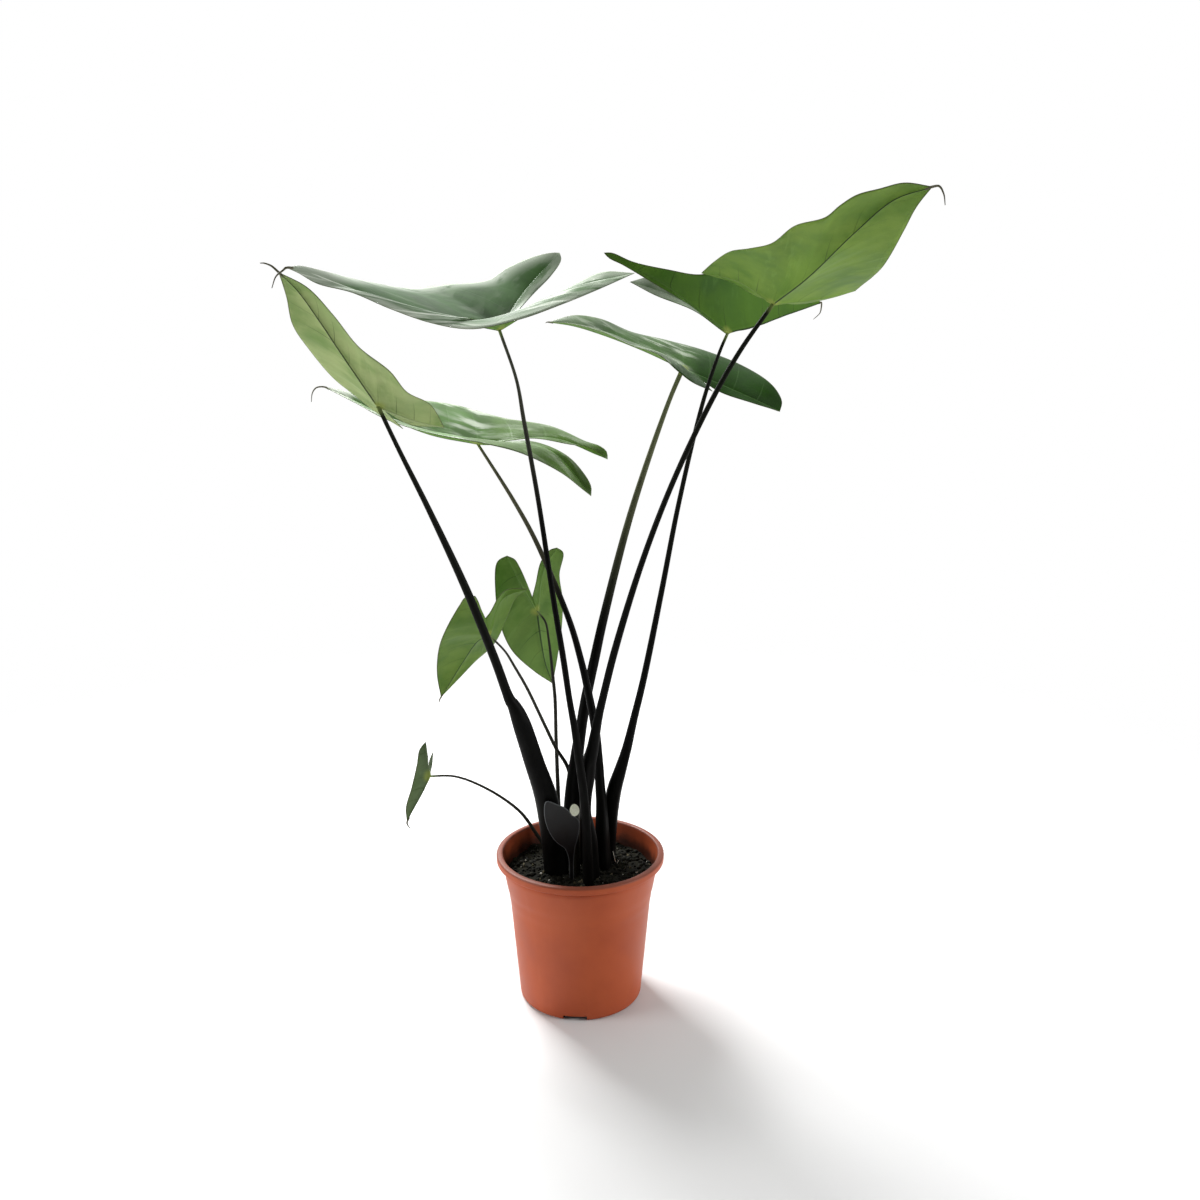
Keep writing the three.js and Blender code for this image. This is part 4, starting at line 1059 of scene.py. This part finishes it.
def upper_material(name, look):
    """A leaf's upper skin: waxy green with whitish streaks of painted sheen, painted reflections of the
    light, and sunken, hardly lighter veins.

    The look gives the painted sheen's shares on the left half, on the right half, along the margin
    and, of all these, on the lobes past the junction, where the lobe's colour takes over.
    """
    colour, lobe_colour = srgb(*look["top"]), srgb(*look["lobe"])
    left_sheen, right_sheen, margin_sheen, lobe_sheen = look["sheen"]
    gloss = look["gloss"]
    leaf = Recipe(name)
    from_rib = leaf.read("rib_distance")
    from_edge = leaf.read("edge_distance")
    place = leaf.read("place")
    side_to_side = leaf.node("SeparateXYZ", {0: leaf.place()})
    across = leaf.math("ADD", leaf.times(from_rib, 75.0), leaf.times(side_to_side, 9.0))
    streak_spot = leaf.node("CombineXYZ", {0: across, 1: leaf.times(place, 3.2)})
    streak = leaf.noise(1.0, spot=streak_spot)
    broad_spot = leaf.node("Mapping", {"Vector": streak_spot, "Scale": (0.32, 0.9, 1.0)})
    broad = leaf.noise(1.0, 1.0, 0.5, spot=broad_spot)
    cloud = leaf.noise(30.0, 2.0)
    shade = leaf.ease(cloud, 0.3, 0.7)
    on_lobe = leaf.ease(place, 0.95, 1.2)
    skin = leaf.mix(shade, tint(colour, 0.7), tint(colour, 1.16))
    skin = leaf.mix(on_lobe, skin, leaf.mix(shade, tint(lobe_colour, 0.74), tint(lobe_colour, 1.12)))
    lateral = leaf.times(lateral_veins(leaf, 0.0001, 0.0016), leaf.ease(from_edge, 0.0, 0.02))
    rib = leaf.ease(from_rib, 0.0003, 0.0014, 1.0, 0.0)
    veins = leaf.math("MAXIMUM", leaf.times(lateral, 0.35), rib)
    skin = leaf.mix(leaf.times(veins, 0.45), skin, tint(colour, 1.5, 0.03))
    # Painted sheen: whitish streaks that stand for reflections of the light, set per half, with painted
    # highlights along the margin and less on the lobes.
    sheen_mask = leaf.times(leaf.ease(streak, 0.45, 0.6), leaf.ease(broad, 0.4, 0.58, 0.2, 1.0))
    sheen_mask = leaf.times(sheen_mask, leaf.ease(leaf.read("left_half"), 0.45, 0.55, right_sheen, left_sheen))
    margin_sheen_mask = leaf.times(leaf.ease(from_edge, 0.004, 0.026, margin_sheen, 0.0), leaf.ease(streak, 0.3, 0.5))
    sheen_mask = leaf.times(leaf.math("MAXIMUM", sheen_mask, margin_sheen_mask), leaf.ease(on_lobe, 0.0, 1.0, 1.0, lobe_sheen))
    skin = leaf.mix(sheen_mask, skin, PAINTED_SHEEN)
    skin = leaf.mix(leaf.ease(from_edge, 0.0002, 0.0010, 0.6, 0.0), skin, UPPER_MARGIN)
    skin = leaf.mix(near_junction(leaf, look["junction"], 0.003, 0.009, 0.7), skin, UPPER_JUNCTION)
    relief = leaf.math("SUBTRACT", leaf.times(cloud, 0.5), veins)
    roughness = leaf.ease(streak, 0.35, 0.65, gloss, gloss + 0.16)
    return leaf.cover(skin, roughness, look["shine"], relief, 0.35, 0.0006)


def under_material(name, look):
    """A leaf's underside: satin green, clouded, with a tapering dark midrib and a few dark lateral veins.

    The lobes' ribs and faint streaks beside the junction are paler than the skin.
    """
    colour, rib_colour = srgb(*look["under"]), srgb(*look["midrib"])
    rib_size = look["rib_size"]
    leaf = Recipe(name)
    from_rib = leaf.read("rib_distance")
    place = leaf.read("place")
    phase = leaf.read("vein_phase")
    from_junction = leaf.math("ABSOLUTE", leaf.math("SUBTRACT", place, 1.0))
    cloud = leaf.noise(26.0)
    broad = leaf.noise(11.0, 1.0)
    grain = leaf.noise(600.0, 2.0)
    dark = (0.54 * colour[0], 0.7 * colour[1], 0.4 * colour[2])
    light = (1.16 * colour[0], 1.1 * colour[1], 1.12 * colour[2])
    skin = leaf.mix(leaf.ease(cloud, 0.3, 0.68), dark, light)
    skin = leaf.mix(leaf.ease(broad, 0.4, 0.62, 0.0, 0.55), skin, tint(colour, 1.06))
    skin = leaf.mix(leaf.ease(grain, 0.45, 0.7, 0.0, 0.12), skin, tint(colour, 0.6))
    ray_spot = leaf.node("CombineXYZ", {0: phase, 1: leaf.times(from_rib, 12.0)})
    rays = leaf.noise(2.6, 2.0, 0.6, spot=ray_spot)
    ray = leaf.times(leaf.ease(rays, 0.52, 0.66), leaf.ease(from_junction, 0.02, 0.42, 0.3, 0.0))
    skin = leaf.mix(ray, skin, tint(colour, 1.35, 0.02))
    index = leaf.math("FLOOR", phase)
    pick = leaf.node("TexWhiteNoise", {"W": index}, "Value", noise_dimensions="1D")
    chosen = leaf.times(leaf.ease(from_rib, 0.001, 0.042, 0.8, 0.0), leaf.ease(pick, 0.5, 0.7, 0.12, 1.0))
    lateral = leaf.times(lateral_veins(leaf, 0.0002, 0.0009), chosen)
    rib_width = leaf.ease(from_junction, 0.0, 1.0, rib_size, rib_size * 0.4)
    rib = leaf.ease(from_rib, leaf.times(rib_width, 0.55), rib_width, 0.92, 0.0)
    ridge = leaf.ease(from_rib, 0.0012, 0.0045, 0.35, 0.0)
    ridge = leaf.times(ridge, leaf.ease(from_junction, 0.0, 0.7, 1.0, 0.0))
    skin = leaf.mix(ridge, skin, tint(colour, 1.45, 0.02))
    skin = leaf.mix(lateral, skin, tint(rib_colour, 1.3))
    lobe_share = leaf.times(leaf.ease(place, 0.97, 1.05), 0.6)
    skin = leaf.mix(rib, skin, leaf.mix(lobe_share, rib_colour, tint(colour, 1.4, 0.02)))
    skin = leaf.mix(leaf.ease(leaf.read("edge_distance"), 0.0003, 0.0014, 0.75, 0.0), skin, UNDER_MARGIN)
    skin = leaf.mix(near_junction(leaf, look["junction"], 0.003, 0.010, 0.75), skin, UNDER_JUNCTION)
    skin = leaf.mix(leaf.ease(from_rib, 0.5, 0.9), skin, DRIP_TIP_COLOUR)
    relief = leaf.math("ADD", leaf.math("MAXIMUM", lateral, rib), leaf.times(cloud, 0.8))
    return leaf.cover(skin, leaf.ease(cloud, 0.3, 0.7, 0.54, 0.68), 0.12, relief, 0.5, 0.0008)


def stem_material(name, low, high, turn, neck):
    """Finely mottled stem skin that turns from low to high colour up its height, with a pale neck."""
    stem = Recipe(name)
    flecks = stem.noise(260.0, stretch=(1.0, 1.0, 0.25))
    cloud = stem.noise(45.0, 2.0, stretch=(1.0, 1.0, 0.4))
    skin = stem.mix(stem.ease(stem.read("share"), *turn), low, high)
    skin = stem.mix(stem.ease(flecks, 0.5, 0.75, 0.0, 0.45), skin, tint(low, 2.0, 0.003))
    skin = stem.mix(stem.ease(stem.read("to_top"), 0.002, 0.012, 0.85, 0.0), skin, neck)
    return stem.cover(skin, stem.ease(cloud, 0.3, 0.7, 0.45, 0.6), 0.06, flecks, 0.3, 0.0003)


def pot_material():
    """Moulded terracotta-coloured plastic: a faint cloud, drawn streaks up the wall and a fine grain.

    The rim's top is greyed as if dusty and darkened with painted shade. Inside, painted shade darkens the
    wall and the drain notches, most of all just above the soil.
    """
    pot = Recipe("terracotta plastic")
    height = pot.node("SeparateXYZ", {0: pot.place()}, "Z")
    cloud = pot.noise(16.0)
    streak = pot.noise(60.0, 2.0, stretch=(1.0, 1.0, 0.12))
    grain = pot.noise(900.0, 2.0)
    skin = pot.mix(pot.ease(cloud, 0.3, 0.7), srgb(168, 75, 40), srgb(180, 84, 46))
    skin = pot.mix(pot.ease(streak, 0.55, 0.8, 0.0, 0.18), skin, srgb(192, 104, 66))
    # Dust and painted shade: the rim's top is greyed and darkened against the light from above.
    dust_and_shade = pot.times(pot.ease(height, POT_HEIGHT - 0.0032, POT_HEIGHT - 0.0008), 0.85)
    skin = pot.mix(dust_and_shade, skin, srgb(122, 67, 52))
    # Painted shade: the inner wall and the drain notches are darkened, most of all low down by the soil and
    # in the notches, where little light reaches, with a ragged upper edge.
    ragged_edge = pot.times(pot.math("SUBTRACT", pot.noise(55.0), 0.5), 0.016)
    above = pot.math("ADD", height, ragged_edge)
    painted_shade = pot.ease(above, SOIL_LEVEL + 0.003, POT_HEIGHT - 0.007, 0.92, 0.12)
    skin = pot.mix(pot.times(pot.read("inside"), painted_shade), skin, srgb(40, 18, 9))
    relief = pot.math("ADD", pot.times(grain, 0.4), pot.times(streak, 0.6))
    return pot.cover(skin, pot.ease(cloud, 0.3, 0.7, 0.42, 0.52), 0.28, relief, 0.12, 0.0003)


def soil_material():
    """Damp dark potting soil: near-black with brown grains."""
    soil = Recipe("potting soil")
    grains = soil.noise(520.0, 4.0, 0.7)
    clods = soil.noise(120.0)
    skin = soil.mix(soil.ease(clods, 0.35, 0.65), srgb(13, 14, 8), srgb(30, 28, 16))
    skin = soil.mix(soil.ease(grains, 0.58, 0.72, 0.0, 0.7), skin, srgb(56, 54, 34))
    relief = soil.math("ADD", clods, soil.times(grains, 0.5))
    return soil.cover(skin, 0.95, 0.2, relief, 1.0, 0.0018)


def crumb_material(name, dark, light, roughness):
    """Loose bits in a range of tones from one to the next."""
    bits = Recipe(name)
    grain = bits.noise(900.0, 3.0, 0.7)
    skin = bits.mix(bits.ease(bits.noise(170.0, 1.0), 0.35, 0.65), dark, light)
    skin = bits.mix(bits.ease(grain, 0.5, 0.75, 0.0, 0.5), skin, tint(dark, 0.5))
    return bits.cover(skin, roughness, 0.25, grain, 0.6, 0.0006)


def label_material():
    """Black plastic sheet with a faint haze and a lighter edge."""
    label = Recipe("black label plastic")
    haze = label.noise(70.0)
    skin = label.mix(label.ease(haze, 0.3, 0.7), srgb(14, 15, 16), srgb(24, 25, 26))
    skin = label.mix(label.times(label.read("rim"), 0.8), skin, srgb(92, 96, 98))
    roughness = label.ease(haze, 0.3, 0.7, 0.38, 0.5)
    return label.cover(skin, roughness, 0.3, label.noise(1500.0, 2.0), 0.1, 0.0002)


def cut_material():
    """A cut stem: black-green skin round a cream face with paler and darker pith."""
    cut = Recipe("cut stem")
    out = cut.read("from_middle")
    pith = cut.noise(700.0)
    face = cut.mix(cut.ease(pith, 0.3, 0.7), srgb(232, 232, 206), srgb(248, 247, 230))
    bark = cut.mix(cut.ease(pith, 0.4, 0.7), srgb(24, 26, 20), srgb(52, 54, 42))
    skin = cut.mix(cut.ease(out, 0.9, 0.97), face, bark)
    return cut.cover(skin, cut.ease(out, 0.9, 0.97, 0.6, 0.42), 0.35, pith, 0.4, 0.0004)


# The whitish colour of the leaves' painted sheen, a painted reflection.
PAINTED_SHEEN = srgb(226, 234, 218)
UPPER_MARGIN = srgb(122, 120, 96)
UPPER_JUNCTION = srgb(158, 172, 96)
UNDER_MARGIN = srgb(74, 78, 48)
UNDER_JUNCTION = srgb(150, 164, 78)
DRIP_TIP_COLOUR = srgb(96, 94, 76)

# Lateral veins on each side: from apex to junction, and along a basal lobe.
LARGE_VEINS = (6, 4)
SMALL_VEINS = (4, 3)

# Each leaf's screen colours: top, lobe on top, underside and the midrib there.
# Then the shares of painted sheen, a painted reflection, the roughness of the gloss,
# how much it shines, the width of the midrib below, the depth of the quilting as a
# share of the width, the way its sheath's lip faces in degrees, its veins and its slots.
LEAF_LOOKS = {
    "left_upright": {
        "top": (88, 124, 66), "lobe": (88, 124, 66), "under": (150, 169, 110), "midrib": (46, 56, 30),
        "sheen": (0.14, 0.14, 0.1, 1.0), "gloss": 0.34, "shine": 0.36, "rib_size": 0.0019, "quilt": 0.018,
        "facing": -20, "veins": LARGE_VEINS, "blade": "leaf_olive", "stem": "stem_black",
    },
    "left_middle": {
        "top": (98, 136, 72), "lobe": (78, 112, 36), "under": (98, 136, 58), "midrib": (50, 68, 34),
        "sheen": (0.8, 0.8, 0.04, 0.35), "gloss": 0.34, "shine": 0.32, "rib_size": 0.0014, "quilt": 0.012,
        "facing": -70, "veins": LARGE_VEINS, "blade": "leaf_green", "stem": "stem_black",
    },
    "left_top": {
        "top": (56, 96, 40), "lobe": (64, 102, 48), "under": (104, 140, 66), "midrib": (50, 68, 34),
        "sheen": (0.95, 0.12, 0.5, 0.8), "gloss": 0.42, "shine": 0.18, "rib_size": 0.0014, "quilt": 0.01,
        "facing": -40, "veins": LARGE_VEINS, "blade": "leaf_green", "stem": "stem_black",
    },
    "right_back": {
        "top": (64, 98, 42), "lobe": (36, 72, 14), "under": (96, 132, 54), "midrib": (48, 66, 32),
        "sheen": (0.45, 0.45, 0.15, 0.0), "gloss": 0.4, "shine": 0.14, "rib_size": 0.0014, "quilt": 0.016,
        "facing": -150, "veins": LARGE_VEINS, "blade": "leaf_green", "stem": "stem_olive",
    },
    "right_top": {
        "top": (66, 102, 48), "lobe": (66, 102, 48), "under": (114, 146, 60), "midrib": (34, 48, 20),
        "sheen": (0.14, 0.14, 0.1, 1.0), "gloss": 0.32, "shine": 0.4, "rib_size": 0.0020, "quilt": 0.016,
        "facing": -110, "veins": LARGE_VEINS, "blade": "leaf_green", "stem": "stem_black",
    },
    "right_inner": {
        "top": (84, 112, 68), "lobe": (100, 124, 86), "under": (76, 114, 34), "midrib": (38, 54, 22),
        "sheen": (0.3, 0.3, 0.3, 1.0), "gloss": 0.32, "shine": 0.4, "rib_size": 0.0013, "quilt": 0.014,
        "facing": -60, "veins": LARGE_VEINS, "blade": "leaf_dark", "stem": "stem_black",
    },
    "low_left": {
        "top": (92, 128, 62), "lobe": (92, 128, 62), "under": (98, 130, 54), "midrib": (52, 74, 32),
        "sheen": (0.12, 0.12, 0.1, 1.0), "gloss": 0.34, "shine": 0.36, "rib_size": 0.0012, "quilt": 0.02,
        "facing": -90, "veins": SMALL_VEINS, "blade": "leaf_fresh", "stem": "stem_brown",
    },
    "low_right": {
        "top": (70, 100, 48), "lobe": (70, 100, 48), "under": (96, 128, 58), "midrib": (44, 66, 28),
        "sheen": (0.12, 0.12, 0.1, 1.0), "gloss": 0.34, "shine": 0.36, "rib_size": 0.0012, "quilt": 0.02,
        "facing": -90, "veins": SMALL_VEINS, "blade": "leaf_fresh", "stem": "stem_brown",
    },
    "small_left": {
        "top": (94, 112, 78), "lobe": (94, 112, 78), "under": (94, 112, 78), "midrib": (66, 84, 50),
        "sheen": (0.12, 0.12, 0.1, 1.0), "gloss": 0.36, "shine": 0.3, "rib_size": 0.0010, "quilt": 0.01,
        "facing": -90, "veins": SMALL_VEINS, "blade": "leaf_fresh", "stem": "stem_brown",
    },
}

# Stem skins by slot, or by leaf where one differs: colour at the foot and at
# the top, the shares of the height between which it turns, and the neck.
BLACK_SKIN = srgb(8, 8, 7)
DARK_NECK = srgb(112, 128, 70)
STEM_LOOKS = {
    "stem_black": (BLACK_SKIN, srgb(24, 26, 20), (0.3, 1.0), DARK_NECK),
    "stem_olive": (BLACK_SKIN, srgb(104, 108, 80), (0.45, 0.98), srgb(158, 170, 86)),
    "stem_brown": (srgb(30, 30, 26), srgb(58, 58, 50), (0.0, 0.8), srgb(128, 146, 92)),
    "left_middle": (BLACK_SKIN, srgb(96, 94, 76), (0.6, 0.95), DARK_NECK),
    "left_top": (BLACK_SKIN, srgb(74, 74, 66), (0.65, 0.95), DARK_NECK),
}


# The plant

stem_skins = {
    look: stem_material(look.replace("_", " ") + " skin", *colours) for look, colours in STEM_LOOKS.items()
}
for leaf_name, leaf_look in LEAF_LOOKS.items():
    whole_leaf = LEAVES[leaf_name] | leaf_look
    spoken = leaf_name.replace("_", " ")
    upper_skin = upper_material(f"{spoken} leaf top", whole_leaf)
    under_skin = under_material(f"{spoken} leaf underside", whole_leaf)
    add_blade(leaf_name, whole_leaf, [upper_skin, under_skin])
    add_petiole(leaf_name, whole_leaf, stem_skins.get(leaf_name, stem_skins[whole_leaf["stem"]]))

add_pot(pot_material())
add_soil(soil_material())
dark_bits = crumb_material("dark soil bits", srgb(14, 15, 9), srgb(32, 31, 21), 0.9)
bark_bits = crumb_material("bark bits", srgb(52, 48, 34), srgb(96, 88, 64), 0.8)
pale_bits = crumb_material("pale mineral bits", srgb(196, 190, 176), srgb(228, 224, 214), 0.7)
add_crumbs("dark_soil_crumbs", 1500, 0.0010, 0.0042, 0.7, 11, dark_bits)
add_crumbs("bark_chips", 90, 0.0012, 0.0046, 0.4, 23, bark_bits)
add_crumbs("mineral_grains", 60, 0.0007, 0.0021, 0.8, 37, pale_bits)
add_fibre(pale_bits)
add_label(label_material())
add_stump(cut_material())


# Floor, light and camera

def add_floor():
    """A pale floor under the plant that fades into the white surroundings further out."""
    floor = Recipe("pale floor")
    reach = floor.node("VectorMath", {0: floor.place()}, "Value", operation="LENGTH")
    material = floor.finish(
        Base_Color=floor.mix(floor.noise(3.0, 1.0), (0.74, 0.74, 0.74), (0.76, 0.76, 0.76)),
        Roughness=0.9,
        Specular_IOR_Level=0.1,
        Alpha=floor.ease(reach, 0.7, 1.5, 1.0, 0.0),
    )
    mesh = bpy.data.meshes.new("floor")
    half = FLOOR_HALF_WIDTH
    corners = [(-half, -half, 0.0), (half, -half, 0.0), (half, half, 0.0), (-half, half, 0.0)]
    mesh.from_pydata(corners, [], [(0, 1, 2, 3)])
    mesh.materials.append(material)
    plane = bpy.data.objects.new("floor", mesh)
    bpy.context.scene.collection.objects.link(plane)


def add_softbox(name, place, target, power):
    """A square area light that faces the target."""
    light = bpy.data.lights.new(name, "AREA")
    light.shape = "SQUARE"
    light.size = SOFTBOX_SIZE
    light.energy = power
    lamp = bpy.data.objects.new(name, light)
    aim = np.array(target) - np.array(place)
    flat = np.hypot(aim[0], aim[1])
    lamp.rotation_euler = (np.arctan2(flat, -aim[2]), 0.0, np.arctan2(aim[1], aim[0]) - np.pi / 2)
    lamp.location = place
    bpy.context.scene.collection.objects.link(lamp)


def light_room():
    """A white room, dimmer in front and bright at its back wall, with softboxes behind and at both sides."""
    room = Recipe("white room", "worlds", "Background")
    direction = room.node("TexCoord", {}, "Generated")
    to_back = room.node("SeparateXYZ", {0: direction}, "Y")
    span = {"From Min": -0.9, "From Max": 0.3, "To Min": 0.07, "To Max": 0.5}
    glow = room.node("MapRange", {"Value": to_back, **span})
    wall = room.ease(to_back, 0.55, 0.9, 0.0, 0.5)
    seen = room.node("LightPath", {}, "Is Camera Ray")
    strength = room.node("Mix", {0: seen, 2: room.math("ADD", glow, wall), 3: 1.0})
    bpy.context.scene.world = room.finish(Color=(1.0, 1.0, 1.0), Strength=strength)
    for name, (place, target, power) in SOFTBOXES.items():
        add_softbox(name, place, target, power)


def add_camera():
    """The camera in front of the plant, looking down at it a little."""
    camera = bpy.data.cameras.new("camera")
    camera.sensor_fit = "HORIZONTAL"
    camera.sensor_width = CAMERA_SENSOR
    camera.lens = CAMERA_LENS
    viewer = bpy.data.objects.new("camera", camera)
    viewer.location = CAMERA_PLACE
    viewer.rotation_euler = (np.pi / 2 - CAMERA_PITCH, 0.0, 0.0)
    bpy.context.scene.collection.objects.link(viewer)
    bpy.context.scene.camera = viewer


add_floor()
light_room()
add_camera()
bpy.context.scene.view_settings.view_transform = "Standard"
